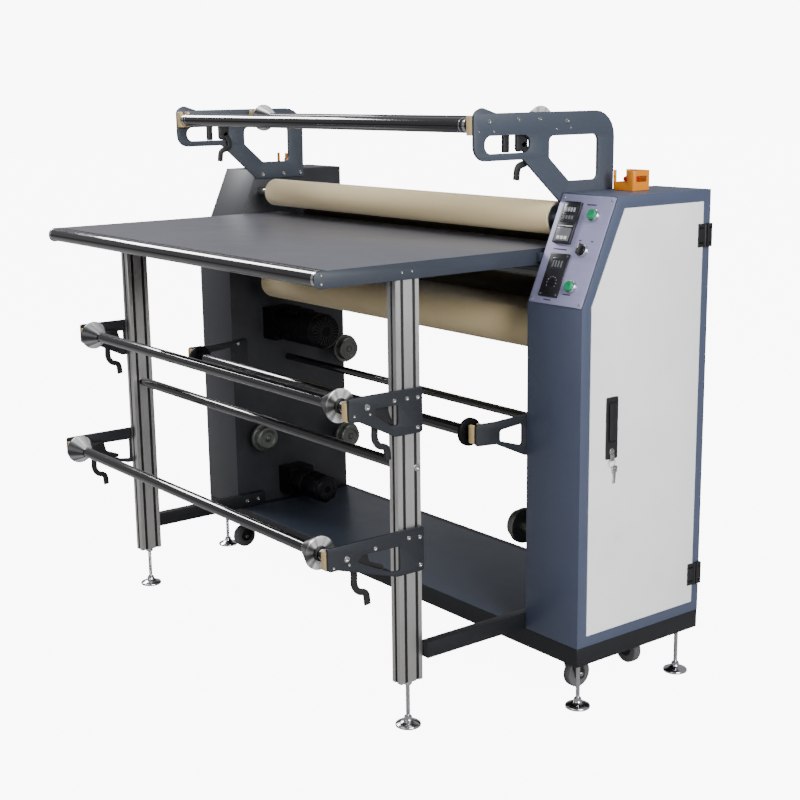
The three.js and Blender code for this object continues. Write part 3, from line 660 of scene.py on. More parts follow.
def levelling_foot(x, y, top, stem=5.5):
    """A bell foot, its threaded stem and its lock nut."""
    pad = [(FLOOR, 0), (FLOOR, 30), (FLOOR + 3, 31), (FLOOR + 6, 30), (FLOOR + 10, 20), (FLOOR + 15, 11),
           (FLOOR + 24, 9), (FLOOR + 25, 0)]
    thread = [(FLOOR + 23, 0), (FLOOR + 23, stem)]
    pitch = 3.0
    z = FLOOR + 24
    while z < top - 14:
        thread += [(z, stem), (z + pitch / 2, stem - 0.9)]
        z += pitch
    thread += [(top - 12, stem), (top - 0.3, stem), (top - 0.3, 0)]
    nut = ring(x, y, 10.5, 6)
    return [
        (turned(pad, 0, 0, 48, standing(x, y), 0.4), CHROME),
        (turned(thread, 0, 0, 24, standing(x, y), 0.1), CHROME),
        (flat([nut], top - 11, top - 3, FLAT, 0.8), CHROME),
    ]


def base():
    outline = rectangle(-OUTER, 0, OUTER, DEPTH, 3)
    opening = rectangle(-616, 60, 616, 365, 2)
    piece("plinth", [(flat([outline, opening], FOOT_TOP, 0, FLAT, 1.2), PLINTH_PAINT)],
          nodes=["base_frame"])
    feet = []
    for x in (-820, 820):
        for y in (40, 389):
            feet += levelling_foot(x, y, FOOT_TOP)
    piece("plinth_feet", feet, nodes=["base_frame"])
    for label, side in SIDES:
        x0, x1 = spread(side, INNER - GAP - STRETCHER_WIDE, INNER - GAP)
        bar = box((x0, -307.7, 2), (x1, 85, 42), 1.0)
        piece(f"stretcher_{label}", [(bar, PLINTH_PAINT)], nodes=["base_frame"])
        face = side * (INNER - GAP - STRETCHER_WIDE)
        screws(f"stretcher_bolts_{label}", [((face, y, 23), outward(-side), 6.5) for y in (19, 59)], STEEL)


def tray():
    sheet = flat([rectangle(-650, 1, 650, 400, 2)], 0.1, 2.0, FLAT, 0.4)
    piece("tray", [(sheet, TRAY_PAINT)], nodes=["base_frame"])


CASTORS = (("front_left", -1, 84, 180), ("front_right", 1, 84, 0), ("rear_left", -1, 322, 30),
           ("rear_right", 1, 322, 90))
CASTOR_X = 744.0
CASTOR_AXLE = -122.0
CASTOR_TRAIL = 26.0


def castors():
    """Each castor is drawn at the middle and swung round to where it stands."""
    top = FOOT_TOP - GAP
    for label, side, y, degrees in CASTORS:
        swing = Matrix.Translation((side * CASTOR_X, y, 0)) @ Matrix.Rotation(math.radians(degrees), 4, "Z")
        crown = [(top - 14, 0), (top - 14, 20), (top - 6, 24), (top, 24), (top, 0)]
        low = CASTOR_AXLE - 13
        cheek = rounded([
            (-14, top - 12, 2), (CASTOR_TRAIL - 14, low, 9), (CASTOR_TRAIL + 14, low, 9), (24, top - 12, 2),
        ])
        axle = [(-20, 0), (-20, 6), (20, 6), (20, 0)]
        fork_parts = [
            (turned(crown, 0, 0, 40, standing(0, 0), 0.6), BLACK_SATIN),
            (plate([cheek], -17.5, -14.5, 0.5), BLACK_SATIN),
            (plate([cheek], 14.5, 17.5, 0.5), BLACK_SATIN),
            (box((-17.5, -14, top - 14), (17.5, 24, top - 11), 0.6), BLACK_SATIN),
            (turned(axle, CASTOR_TRAIL, CASTOR_AXLE, 24), STEEL),
        ]
        tread = [(-12, 7), (-12, 32), (-10, 35.5), (0, 36), (10, 35.5), (12, 32), (12, 7), (-12, 7)]
        hub = [(-12.4, 7), (-12.4, 14), (-11, 25), (11, 25), (12.4, 14), (12.4, 7), (-12.4, 7)]
        wheel_parts = [(turned(tread, CASTOR_TRAIL, CASTOR_AXLE, 56), TREAD),
                       (turned(hub, CASTOR_TRAIL, CASTOR_AXLE, 40), BLACK_SATIN)]
        kinds = (("fork", fork_parts, "castor_black"), ("wheel", wheel_parts, "wheel_grey"))
        for kind, parts, slot in kinds:
            for mesh, _ in parts:
                mesh.transform(swing)
            body = f"castor_{kind}_{label}"
            piece(body, parts, body=body, nodes=[body])


# ---- cabinets, door and controls -----------------------------------------------------------
def cabinet_face(inset, bottom=None):
    bottom = inset if bottom is None else bottom
    bend = inset * math.tan(SLOPE_ANGLE / 2)
    top = SLOPE_DEPTH + inset / math.cos(SLOPE_ANGLE) - inset * math.tan(SLOPE_ANGLE)
    return [(inset, bottom), (DEPTH - inset, bottom), (DEPTH - inset, HEIGHT - inset),
            (top, HEIGHT - inset), (inset, SLOPE_START + bend)]


def cabinets():
    for label, side in SIDES:
        paint = CABINET_PAINT if side > 0 else CABINET_LEFT
        piece(f"cabinet_shell_{label}", [(copy_of(f"{label}_cabinet", 1.1), paint)],
              nodes=[f"{label}_cabinet"])


HINGE = (860.3, 403.0)
HINGE_HEIGHTS = (102.0, 952.0)


def door():
    outline = rounded([(*p, 1.5) for p in cabinet_face(28)])
    parts = [(plate([outline], OUTER + 0.3, OUTER + 2.8, 0.5), DOOR_PAINT)]
    for z in HINGE_HEIGHTS:
        leaf = box((OUTER + 2.8, HINGE[1] - 24, z - 28), (OUTER + 5.3, HINGE[1] - 3, z + 28), 0.5)
        pin = [(z - 28, 0), (z - 28, 3.9), (z + 28, 3.9), (z + 28, 0)]
        barrel = turned(pin, 0, 0, 28, standing(*HINGE))
        parts += [(leaf, BLACK_SATIN), (barrel, BLACK_SATIN)]
    piece("door_panel", parts, body="right_door", nodes=["right_door"])
    places = [((OUTER + 5.3, HINGE[1] - y, z + dz), OUT_X, 2.8)
              for z in HINGE_HEIGHTS for dz in (-18, 18) for y in (10, 18)]
    screws("door_hinge_screws", places, BLACK_CASE, "right_door")
    face = OUTER + 8.45
    leaves = []
    for z in HINGE_HEIGHTS:
        low, high = (OUTER - 0.5, HINGE[1] + 4.15, z - 28.15), (face, DEPTH - 0.85, z + 28.15)
        leaves.append((box(low, high, 0.6), BLACK_SATIN))
    piece("cabinet_hinge_leaves", leaves)
    places = [((face, HINGE[1] + 13, z + dz), OUT_X, 2.8) for z in HINGE_HEIGHTS for dz in (-18, 18)]
    screws("cabinet_hinge_screws", places, BLACK_CASE)
    lock = rounded([(79, 452, 4), (117, 452, 4), (117, 600, 4), (79, 600, 4)])
    window = rounded([(86, 492, 2), (110, 492, 2), (110, 588, 2), (86, 588, 2)])
    # The second plate fills the lock window with painted shade.
    frame_parts = [(plate([lock, window], OUTER + 2.7, OUTER + 5.8, 0.6), BLACK_SATIN),
                   (plate([window], OUTER + 2.6, OUTER + 4.0, 0.2), RECESS_SHADE)]
    cylinder = [(OUTER + 4, 0), (OUTER + 4, 8), (OUTER + 7.4, 8), (OUTER + 7.8, 5), (OUTER + 7.8, 0)]
    frame_parts.append((turned(cylinder, 98, 470, 32), STEEL))
    piece("door_lock_plate", frame_parts, body="right_door", nodes=["right_door"])
    grip = rounded([(88, 496, 4), (108, 496, 4), (108, 585.5, 3), (88, 585.5, 3)])
    piece("door_handle_grip", [(plate([grip], OUTER + 6.1, OUTER + 8.6, 0.8), BLACK_SATIN)],
          body="door_handle", nodes=["door_handle"])
    keys()


def keys():
    """A key in the lock, its ring and a spare that hangs from it."""
    bow = rounded([(91, 447, 5), (105, 447, 5), (105, 466, 4), (91, 466, 4)])
    hole = ring(98, 452, 2.2, 16)
    blade = box((OUTER + 6.5, 97.2, 464), (OUTER + 8.4, 98.8, 474), 0.3)
    loop = [(OUTER + 7.4, 98 + 10 * math.sin(a), 443 + 10 * math.cos(a))
            for a in (2 * math.pi * k / 28 for k in range(28))]
    spare = rounded([(99, 418, 5), (114, 416, 5), (116, 434, 5), (101, 436, 5)])
    shank = rounded([(103, 392, 1), (109, 391, 1), (111, 420, 1), (105, 421, 1)])
    parts = [
        (plate([bow, hole], OUTER + 6.6, OUTER + 8.4, 0.4), STEEL),
        (blade, STEEL),
        (tube(loop, 0.7, closed=True), STEEL),
        (plate([spare, ring(106, 429, 2.2, 16)], OUTER + 6.4, OUTER + 8.2, 0.4), STEEL),
        (plate([shank], OUTER + 6.6, OUTER + 8.0, 0.3), STEEL),
    ]
    piece("door_keys", parts, body="right_door")


PANEL_LOW = INNER + 4
PANEL_HIGH = OUTER - 4
CONTROL_X = OUTER - 53
START = (CONTROL_X, 222)
SELECTOR = (CONTROL_X, 137)
FEED = (CONTROL_X, 50)


def control_panel():
    outline = rectangle(PANEL_LOW, 4, PANEL_HIGH, SLOPE_LENGTH - 4, 3)
    parts = [(flat([outline], 0.3, 2.3, SLOPE, 0.5), PANEL)]
    for x, along in (START, SELECTOR, FEED):
        collar = [(2.2, 12.8), (2.2, 15.5), (9.4, 15.5), (11, 14), (11, 12.8), (2.2, 12.8)]
        parts.append((turned(collar, 0, 0, 48, on_slope(x, along), 0.4), BEZEL))
    piece("panel_plate", parts, nodes=["control_panel"])
    corners = [(PANEL_LOW + 8, 12), (PANEL_HIGH - 8, 12), (PANEL_LOW + 8, SLOPE_LENGTH - 12),
               (PANEL_HIGH - 8, SLOPE_LENGTH - 12)]
    out = SLOPE.to_3x3() @ Vector((0, 0, 1))
    places = [(tuple(SLOPE @ Vector((x, y, 2.3))), tuple(out), 3.2) for x, y in corners]
    screws("panel_screws", places, STEEL)
    temperature_controller(INNER + 24, 149, INNER + 81, 251)
    speed_controller(INNER + 30, 20, INNER + 92, 126, out)
    printed_marks()


def patch(x0, y0, x1, y1, low, high, radius, ease, finish):
    """A low block on the sloped panel, between two heights above it."""
    return (flat([rectangle(x0, y0, x1, y1, radius)], low, high, SLOPE, ease), finish)


def temperature_controller(x0, y0, x1, y1):
    parts = [patch(x0, y0, x1, y1, 1.5, 9.5, 3, 1.0, INSTRUMENT),
             patch(x0 + 6, y1 - 52, x1 - 6, y1 - 7, 9.0, 10.3, 2, 0.3, SCREEN)]
    for row, height, finish in ((y1 - 26, 11, DIM_PRINT), (y1 - 44, 9, TREAD)):
        for x in (x0 + 12, x0 + 21, x0 + 30, x0 + 39):
            parts.append(patch(x, row, x + 6, row + height, 10.2, 10.6, 1, 0.1, finish))
    parts.append(patch(x0 + 5, y0 + 41, x1 - 5, y0 + 43, 9.4, 9.9, 0.6, 0.1, WHITE_PRINT))
    parts.append(patch(x0 + 6, y0 + 5, x1 - 6, y0 + 37, 9.0, 10.6, 2, 0.4, COVER))
    for x in (x0 + 12, x0 + 24, x0 + 36):
        parts.append(patch(x, y0 + 9, x + 9, y0 + 17, 10.4, 11.0, 1.5, 0.3, WHITE_PRINT))
    piece("temperature_controller", parts, nodes=["control_panel"])


def speed_controller(x0, y0, x1, y1, out):
    knob = [(4.5, 0), (4.5, 10), (5.0, 10), (5.0, 0)]
    middle, dial = (x0 + x1) / 2, y0 + 34
    parts = [patch(x0, y0, x1, y1, 1.5, 5.0, 3, 0.8, INSTRUMENT),
             patch(x0 + 12, y1 - 40, x1 - 12, y1 - 12, 4.6, 5.3, 2, 0.2, SCREEN),
             (turned(knob, 0, 0, 40, on_slope(middle, dial), 0.2), SCREEN)]
    for k in range(9):
        angle = math.radians(-120 + 30 * k)
        dot = ring(middle + 15 * math.sin(angle), dial + 15 * math.cos(angle), 0.9, 10)
        parts.append((flat([dot], 4.8, 5.15, SLOPE, 0.05), WHITE_PRINT))
    for x in (x0 + 15, x0 + 24, x0 + 33, x0 + 42):
        parts.append(patch(x, y1 - 34, x + 5, y1 - 18, 5.2, 5.4, 1, 0.05, TREAD))
    piece("speed_controller", parts, nodes=["control_panel"])
    corners = [(x0 + 6, y0 + 6), (x1 - 6, y0 + 6), (x0 + 6, y1 - 6), (x1 - 6, y1 - 6)]
    places = [(tuple(SLOPE @ Vector((x, y, 4.6))), tuple(out), 2.4) for x, y in corners]
    screws("speed_controller_screws", places, STEEL)


def printed_marks():
    """Short plain bars where a panel has its captions."""
    bars = [(START[0] - 34, 246, 30, 3.2), (SELECTOR[0] - 24, 160, 8, 3), (SELECTOR[0] + 14, 160, 8, 3),
            (FEED[0] - 22, 30, 26, 3), (INNER + 30, 134, 44, 3.4), (INNER + 50, 12, 24, 3)]
    parts = [patch(x, y, x + w, y + h, 2.2, 2.45, 0.6, 0.05, DARK_PRINT) for x, y, w, h in bars]
    piece("panel_marks", parts)


def buttons():
    for body, (x, along) in (("start_button", START), ("feed_button", FEED)):
        cap = [(6.6, 0), (6.6, 12), (17, 12), (18, 10.6), (17.4, 7), (17.2, 0)]
        piece(f"{body}_cap", [(turned(cap, 0, 0, 48, on_slope(x, along), 0.5), GREEN)],
              body=body, nodes=[body])
    x, along = SELECTOR
    barrel = [(2.6, 0), (2.6, 12), (14, 12), (14, 0)]
    grip = rounded([(x - 3.6, along - 12, 3), (x + 3.6, along - 12, 3), (x + 3.6, along + 14, 3),
                    (x - 3.6, along + 14, 3)])
    mark = rectangle(x - 0.8, along + 1, x + 0.8, along + 13, 0.4)
    parts = [
        (turned(barrel, 0, 0, 48, on_slope(x, along)), BLACK_SATIN),
        (flat([grip], 13, 24, SLOPE, 1.0), BLACK_SATIN),
        (flat([mark], 23.6, 24.2, SLOPE, 0.1), WHITE_PRINT),
    ]
    piece("selector_knob", parts, body="mode_selector", nodes=["mode_selector"])


def emergency_stops():
    for label, side in SIDES:
        guard = f"e_stop_guard_{label}"
        piece(f"stop_guard_{label}", [(copy_of(guard, 0.9), YELLOW)], nodes=[guard])
        x, y, z = side * 738, 275, HEIGHT + GAP
        stem = [(z + 11.3, 0), (z + 11.3, 8), (z + 21.3, 8), (z + 21.3, 0)]
        cap = [(z + 21.3, 0), (z + 21.3, 17.4), (z + 22.7, 19), (z + 28, 19), (z + 31, 17), (z + 33.4, 11),
               (z + 34.3, 0)]
        body = f"e_stop_button_{label}"
        piece(f"stop_mushroom_{label}", [(turned(stem, 0, 0, 32, standing(x, y)), RED),
                                         (turned(cap, 0, 0, 48, standing(x, y), 0.3), RED)],
              body=body, nodes=[body])


# ---- drum, felt and rollers ----------------------------------------------------------------
DRUM = (260.0, 865.0, 95.0)
FELT_THICK = 5.0
FELT_LEFT = -585.0
FELT_RIGHT = 652.0
JOURNAL_END = INNER - GAP
FELT_ROLLERS = {
    "upper": (120.0, 998.0, 35.0),
    "lower": (104.0, 727.0, 43.0),
    "rear_lower": (382.0, 755.0, 24.0),
    "rear_upper": (382.0, 975.0, 24.0),
}


def wrapped(circles, distance, step=math.radians(4)):
    """The closed line that wraps the circles, a distance out from the loop's inner face."""
    count = len(circles)
    signed = [radius + distance for _, _, radius in circles]
    heading = []
    for i in range(count):
        dy = circles[(i + 1) % count][0] - circles[i][0]
        dz = circles[(i + 1) % count][1] - circles[i][1]
        lean = math.asin((signed[(i + 1) % count] - signed[i]) / math.hypot(dy, dz))
        heading.append(math.atan2(dz, dy) - lean)
    points = []
    for i, (y, z, _) in enumerate(circles):
        start = heading[i - 1]
        turn = heading[i] - start
        full = 2 * math.pi
        turn = turn % full if signed[i] > 0 else -((-turn) % full)
        steps = max(2, math.ceil(abs(turn) / step))
        for k in range(steps + 1):
            angle = start + turn * k / steps
            points.append((y + signed[i] * math.sin(angle), z - signed[i] * math.cos(angle)))
    return points


def felt_blanket():
    path = [FELT_ROLLERS["upper"], (DRUM[0], DRUM[1], -(DRUM[2] + FELT_THICK)), FELT_ROLLERS["lower"],
            FELT_ROLLERS["rear_lower"], FELT_ROLLERS["rear_upper"]]
    loops = [wrapped(path, FELT_THICK - 0.05), wrapped(path, 0.05)]
    middle = wrapped(path, FELT_THICK / 2)
    length = sum((Vector(a) - Vector(b)).length for a, b in zip(middle, middle[1:] + middle[:1]))
    made = piece("felt_belt", [(plate(loops, FELT_LEFT, FELT_RIGHT, 0.9), FELT)],
                 nodes=["felt_blanket"], sharp=50)


def felt_rollers():
    y, z, radius = DRUM
    low, high = FELT_LEFT - 6, FELT_RIGHT + 6
    drum = [(-JOURNAL_END, 0), (-JOURNAL_END, 34), (low, 34), (low, radius - 0.6), (high, radius - 0.6),
            (high, 34), (JOURNAL_END, 34), (JOURNAL_END, 0)]
    piece("drum_shell", [(turned(drum, y, z, 96), BLACK_GLOSS)], body="heating_drum",
          nodes=["heating_drum"])
    for label, (y, z, radius) in FELT_ROLLERS.items():
        name = f"{label}_felt_roller"
        core = [(-JOURNAL_END, 0), (-JOURNAL_END, 12), (FELT_LEFT, 12), (FELT_LEFT, radius - 0.7),
                (FELT_RIGHT, radius - 0.7), (FELT_RIGHT, 12), (JOURNAL_END, 12), (JOURNAL_END, 0)]
        piece(f"{label}_felt_core", [(turned(core, y, z, 64), STEEL)], body=name, nodes=[name])


# ---- brackets ------------------------------------------------------------------------------
PLATE = 8.0
SADDLE = 20.0
SADDLE_LONG = 32.0
SADDLE_HALF = 22.0
THROAT = 7.6


def saddle(side, plate_inner, y, z, drop):
    """A nylon block with an open-topped slot for a journal."""
    half = SADDLE_LONG / 2
    low, high = z - SADDLE_HALF - drop, z + SADDLE_HALF - drop
    block = [(y - half, low, 2), (y + half, low, 2), (y + half, high, 2), (y + THROAT, high, 2),
             (y + THROAT, z - THROAT, 3), (y - THROAT, z - THROAT, 3), (y - THROAT, high, 2),
             (y - half, high, 2)]
    x0, x1 = spread(side, plate_inner - SADDLE, plate_inner - 0.1)
    return plate([rounded(block)], x0, x1, 0.8)


def bracket_piece(name, side, plate_inner, outline, holes, finish, node, throats, drop=0.0):
    """A bracket plate, with the slots that its saddles need cut into its inner part."""
    x0, x1 = spread(side, plate_inner, plate_inner + PLATE)
    loops = [rounded(outline)] + [rounded(hole) for hole in holes]
    parts = [(plate(loops, x0, x1, 0.8), finish)]
    for y, z in throats:
        parts.append((saddle(side, plate_inner, y, z, drop), SADDLE_TAN))
    piece(name, parts, nodes=[node])


UPPER_FRONT = (-147.0, 1221.0)
UPPER_REAR = (100.0, 1221.0)
REAR = (-142.0, 513.0)
MIDDLE = (-496.0, 624.0)
LOWER = (-560.0, 298.0)
CABINET_PLATE = INNER - GAP - PLATE
LEG_PLATE = 658.3


def upper_bracket(label, side):
    edge = [(-163, 1250, 18), (-138, 1260, 12), (-98, 1247, 20), (280, 1247, 62), (278, 1036, 4),
            (106, 1036, 4), (-14, 1141, 10), (-163, 1141, 34)]
    slot_hole = [(-132, 1157, 19), (6, 1157, 19), (6, 1197, 19), (-132, 1197, 19)]
    window = [(66, 1142, 10), (130, 1086, 8), (225, 1086, 14), (225, 1192, 14), (66, 1192, 14)]
    bracket_piece(f"upper_plate_{label}", side, CABINET_PLATE, edge, [slot_hole, window], BRACKET_PAINT,
                  f"upper_bracket_{label}", [UPPER_FRONT, UPPER_REAR])
    big = [(-118, 1229), (-30, 1232), (36, 1231), (123, 1225)]
    foot = [(128, 1048), (204, 1048), (266, 1048)]
    small = [(-149, 1207), (-105, 1207), (89, 1207), (134, 1209)]
    x = side * (CABINET_PLATE + PLATE)
    places = [((x, y, z), outward(side), 5.6) for y, z in big]
    places += [((x, y, z), outward(side), 3.2) for y, z in small]
    screws(f"upper_screws_outer_{label}", places, STEEL)
    x = side * CABINET_PLATE
    screws(f"upper_screws_inner_{label}", [((x, y, z), outward(-side), 5.6) for y, z in foot], STEEL)


def leg_bracket(label, side, tag, axis, height, window, screw_places):
    axis_y, axis_z = axis
    front = SADDLE_LONG / 2 - axis_y
    rear = -309.0
    top = axis_z + 26
    bottom = top - height
    edge = [(-front, top, 6), (rear, top, 4), (rear, bottom, 6), (-386, bottom, 8),
            (-front + 26, axis_z - 29, 10), (-front, axis_z - 29, 8)]
    hole = [(y, axis_z - below, 4) for y, below in window]
    bracket_piece(f"{tag}_plate_{label}", side, LEG_PLATE, edge, [hole], BRACKET_DARK,
                  f"{tag}_bracket_{label}", [axis], 6.0)
    x = side * (LEG_PLATE + PLATE)
    screws(f"{tag}_screws_{label}", [((x, y, z), outward(side), r) for y, z, r in screw_places], STEEL)


def rear_bracket(label, side):
    z = REAR[1]
    edge = [(-158, z + 26, 8), (-96, z + 24, 20), (50, z + 30, 6), (50, z - 74, 6), (-4, z - 72, 8),
            (-96, z - 30, 20), (-158, z - 26, 8)]
    window = [(-84, z + 2, 6), (-12, z + 8, 6), (-12, z - 46, 6), (-84, z - 24, 6)]
    bracket_piece(f"rear_plate_{label}", side, CABINET_PLATE, edge, [window], BRACKET_DARK,
                  f"rear_bracket_{label}", [REAR])
    x = side * CABINET_PLATE
    places = [((x, y, h), outward(-side), 5.0) for y, h in ((-95, 500), (16, 530), (16, 456))]
    screws(f"rear_screws_{label}", places, STEEL)


def brackets():
    middle = [(-464, 625, 7.5), (-456, 608, 3.2), (-498, 609, 3.2), (-389, 629, 5.2), (-353, 629, 5.2),
              (-323, 628, 5.2), (-324, 559, 5.2)]
    lower = [(-527, 291, 7.5), (-520, 276, 3.2), (-562, 277, 3.2), (-448, 299, 5.2), (-353, 304, 5.2),
             (-321, 300, 5.2), (-320, 233, 5.2)]
    middle_window = [(-441, 6), (-378, 6), (-378, 53), (-398, 51), (-441, 22)]
    lower_window = [(-484, 7), (-378, 9), (-378, 68), (-409, 64), (-497, 21)]
    for label, side in SIDES:
        upper_bracket(label, side)
        leg_bracket(label, side, "middle", MIDDLE, 104, middle_window, middle)
        leg_bracket(label, side, "lower", LOWER, 106, lower_window, lower)
        rear_bracket(label, side)


# ---- shafts --------------------------------------------------------------------------------
CONE_FACE = 612.0
CONE_LONG = 52.0


def cone(side, y, z, sheen):
    """A turned core cone, its dished wide face outwards, and the collar that clamps it."""
    body = [(-1.6, 14.2), (-1.6, 17), (-0.8, 26), (0, 36.5), (-0.5, 38.4), (-1.6, 39), (-5, 39),
            (-6.4, 38.2), (-CONE_LONG, 16.8), (-CONE_LONG, 14.2), (-1.6, 14.2)]
    clamp = [(-1.2, 14.1), (-1.2, 17.5), (7, 17.5), (8, 16.5), (8, 14.1), (-1.2, 14.1)]
    return [(turned(handed(side, CONE_FACE, body), y, z, 96, size=0.3), sheen),
            (turned(handed(side, CONE_FACE, clamp), y, z, 48, size=0.2), BLACK_SATIN)]


def shaft(name, plate_inner, radius, y, z, extras):
    """A lacquered tube between two steel journals, and what is fixed on it."""
    shoulder = plate_inner - SADDLE - 2
    end = plate_inner - GAP
    journal = [(end, 0), (end, 7), (shoulder, 7), (shoulder, 0)]
    core = both([(-shoulder, 0), (-shoulder, radius)])
    parts = [(turned(handed(side, 0, journal), y, z, 32), STEEL) for side in (-1, 1)]
    parts.append((turned(core, y, z, 64), BLACK_GLOSS))
    piece(f"{name}_turned", parts + extras, body=name, nodes=[name])


def collar(x, y, z, radius, width):
    low, high = x - width / 2, x + width / 2
    profile = [(low, 10), (low, radius), (high, radius), (high, 10), (low, 10)]
    return (turned(profile, y, z, 56, size=0.5), CHROME)


def shafts():
    y, z = UPPER_FRONT
    rings = [collar(side * x, y, z, 17.6, width) for x, width in ((638, 9), (622, 3)) for side in (-1, 1)]
    shaft("upper_front_roller", CABINET_PLATE, 17.3, y, z, rings)
    for name, plate_inner, (y, z) in (("upper_rear_shaft", CABINET_PLATE, UPPER_REAR),
                                      ("middle_shaft", LEG_PLATE, MIDDLE),
                                      ("lower_shaft", LEG_PLATE, LOWER)):
        # each cone's wide face carries a painted reflection of bright and dull sectors
        sheen = painted_sunburst(f"cone painted reflection, {name}", y, z)
        shaft(name, plate_inner, 14, y, z, cone(-1, y, z, sheen) + cone(1, y, z, sheen))
    y, z = REAR
    disc = [(0, 13), (0, 33), (-1, 34), (-8, 34), (-9, 33), (-9, 20), (-16, 19), (-16, 13), (0, 13)]
    discs = [(turned(handed(side, 636, disc), y, z, 64, size=0.3), BLACK_CASE) for side in (-1, 1)]
    shaft("rear_shaft", CABINET_PLATE, 14, y, z, discs)


UPPER_YOKE = [(-60, 38, 4), (14, 38, 6), (14, -20, 8), (-20, -22, 8), (-20, 18, 3), (-42, 18, 3),
              (-42, -22, 3), (-60, -22, 3)]
UPPER_TAIL = [(0, 0), (15, -28), (13, -46), (-12, -57), (-18, -86)]
LEG_TAIL = [(0, 0), (27, -36), (29, -70), (40, -88), (60, -97), (65, -125)]


def leg_yoke(tip):
    return [(-4, 11, 3), (62, 5, 4), (70, -24, 6), (tip, -40, 4), (tip - 4, -50, 4), (0, -12, 4)]


def lever(label, side, tag, plate_inner, y, z, yoke, tail):
    """A hanging brake lever: a broad yoke at its pivot and a tail bent into an S."""
    line = smooth_line(tail, 40)
    near, far = [], []
    for i, here in enumerate(line):
        along = (line[min(i + 1, len(line) - 1)] - line[max(i - 1, 0)]).normalized()
        across = Vector((-along.y, along.x)) * 7.5
        near.append((here.x + across.x + y, here.y + across.y + z))
        far.append((here.x - across.x + y, here.y - across.y + z))
    x0, x1 = spread(side, plate_inner - 9, plate_inner - 1)
    body = f"{tag}_lever_{label}"
    hub = [(x0, 0), (x0, 12), (x1, 12), (x1, 0)]
    broad = rounded([(y + dy, z + dz, radius) for dy, dz, radius in yoke])
    parts = [(plate([near + far[::-1]], x0, x1, 1.2), BLACK_SATIN),
             (plate([broad], x0 + 0.1, x1 - 0.1, 1.0), BLACK_SATIN),
             (turned(hub, y, z, 40), BLACK_SATIN)]
    piece(f"{tag}_brake_{label}", parts, body=body, nodes=[body])


def smooth_line(points, steps):
    """A smooth line through the points, as a Catmull-Rom curve does it."""
    rows = [Vector(p) for p in points]
    rows = [2 * rows[0] - rows[1], *rows, 2 * rows[-1] - rows[-2]]
    spans = len(rows) - 3
    line = []
    for k in range(steps + 1):
        place = min(k / steps * spans, spans - 1e-6)
        i = int(place)
        t = place - i
        a, b, c, d = rows[i:i + 4]
        line.append(0.5 * (2 * b + (c - a) * t + (2 * a - 5 * b + 4 * c - d) * t * t
                           + (3 * b - a - 3 * c + d) * t ** 3))
    return line


def levers():
    for label, side in SIDES:
        lever(label, side, "upper", CABINET_PLATE, -8, 1180, UPPER_YOKE, UPPER_TAIL)
        lever(label, side, "middle", LEG_PLATE, -464, 618, leg_yoke(80), LEG_TAIL)
        lever(label, side, "lower", LEG_PLATE, -528, 292, leg_yoke(110), LEG_TAIL)


# ---- legs, table and bars ------------------------------------------------------------------
LEG_OUTER = 657.7
LEG_WIDE = 35.0
LEG_FRONT = -374.0
LEG_DEEP = 66.0
LEG_FOOT = -53.0
TABLE_TOP_Z = 932.0


def slotted_outline(x0, y0, x1, y1):
    """A profile's outline with a T-slot in the middle of each short face and two in each long one."""
    def groove(mouth, normal, along):
        shape = [(-4, 0), (-4, 2), (-7.5, 2.6), (-7.5, 5.5), (-4, 8.5)]
        shape += [(-a, d) for a, d in reversed(shape)]
        return [(mouth[0] + along[0] * a - normal[0] * d, mouth[1] + along[1] * a - normal[1] * d)
                for a, d in shape]
    middle = (x0 + x1) / 2
    quarter = (y1 - y0) / 4
    points = [(x0 + 2, y0)]
    points += groove((middle, y0), (0, -1), (1, 0))
    points += [(x1 - 2, y0), (x1, y0 + 2)]
    points += groove((x1, y0 + quarter), (1, 0), (0, 1))
    points += groove((x1, y1 - quarter), (1, 0), (0, 1))
    points += [(x1, y1 - 2), (x1 - 2, y1)]
    points += groove((middle, y1), (0, 1), (-1, 0))
    points += [(x0 + 2, y1), (x0, y1 - 2)]
    points += groove((x0, y1 - quarter), (-1, 0), (0, -1))
    points += groove((x0, y0 + quarter), (-1, 0), (0, -1))
    points += [(x0, y0 + 2)]
    return points


def legs():
    for label, side in SIDES:
        x0, x1 = spread(side, LEG_OUTER - LEG_WIDE, LEG_OUTER)
        outline = slotted_outline(x0, LEG_FRONT, x1, LEG_FRONT + LEG_DEEP)
        post = flat([outline], LEG_FOOT, TABLE_TOP_Z - 3 - GAP, FLAT, 0.2)
        middle = ((x0 + x1) / 2, LEG_FRONT + LEG_DEEP / 2)
        parts = [(post, ALUMINIUM)] + levelling_foot(*middle, LEG_FOOT)
        # Black strips inside each T-slot are painted shade in the grooves.
        low, high = LEG_FOOT + 1, TABLE_TOP_Z - 4
        for y in (LEG_FRONT + LEG_DEEP / 4, LEG_FRONT + LEG_DEEP * 3 / 4):
            for x in (x0 + 1.2, x1 - 8.2):
                parts.append((box((x, y - 3.8, low), (x + 7, y + 3.8, high), 0.3), RECESS_SHADE))
        for y in (LEG_FRONT + 1.2, LEG_FRONT + LEG_DEEP - 8.2):
            parts.append((box((middle[0] - 3.8, y, low), (middle[0] + 3.8, y + 7, high), 0.3), RECESS_SHADE))
        piece(f"leg_post_{label}", parts, nodes=[f"leg_{label}"])
    places = [((side * LEG_OUTER, -321, 463), outward(side), 9) for side in (-1, 1)]
    screws("tie_bar_bolts", places, STEEL)


TABLE_HALF = 658.0
TABLE_FRONT = -553.0
TABLE_REAR = 176.0
ROLLER_Y = -573.0
ROLLER_Z = 915.0


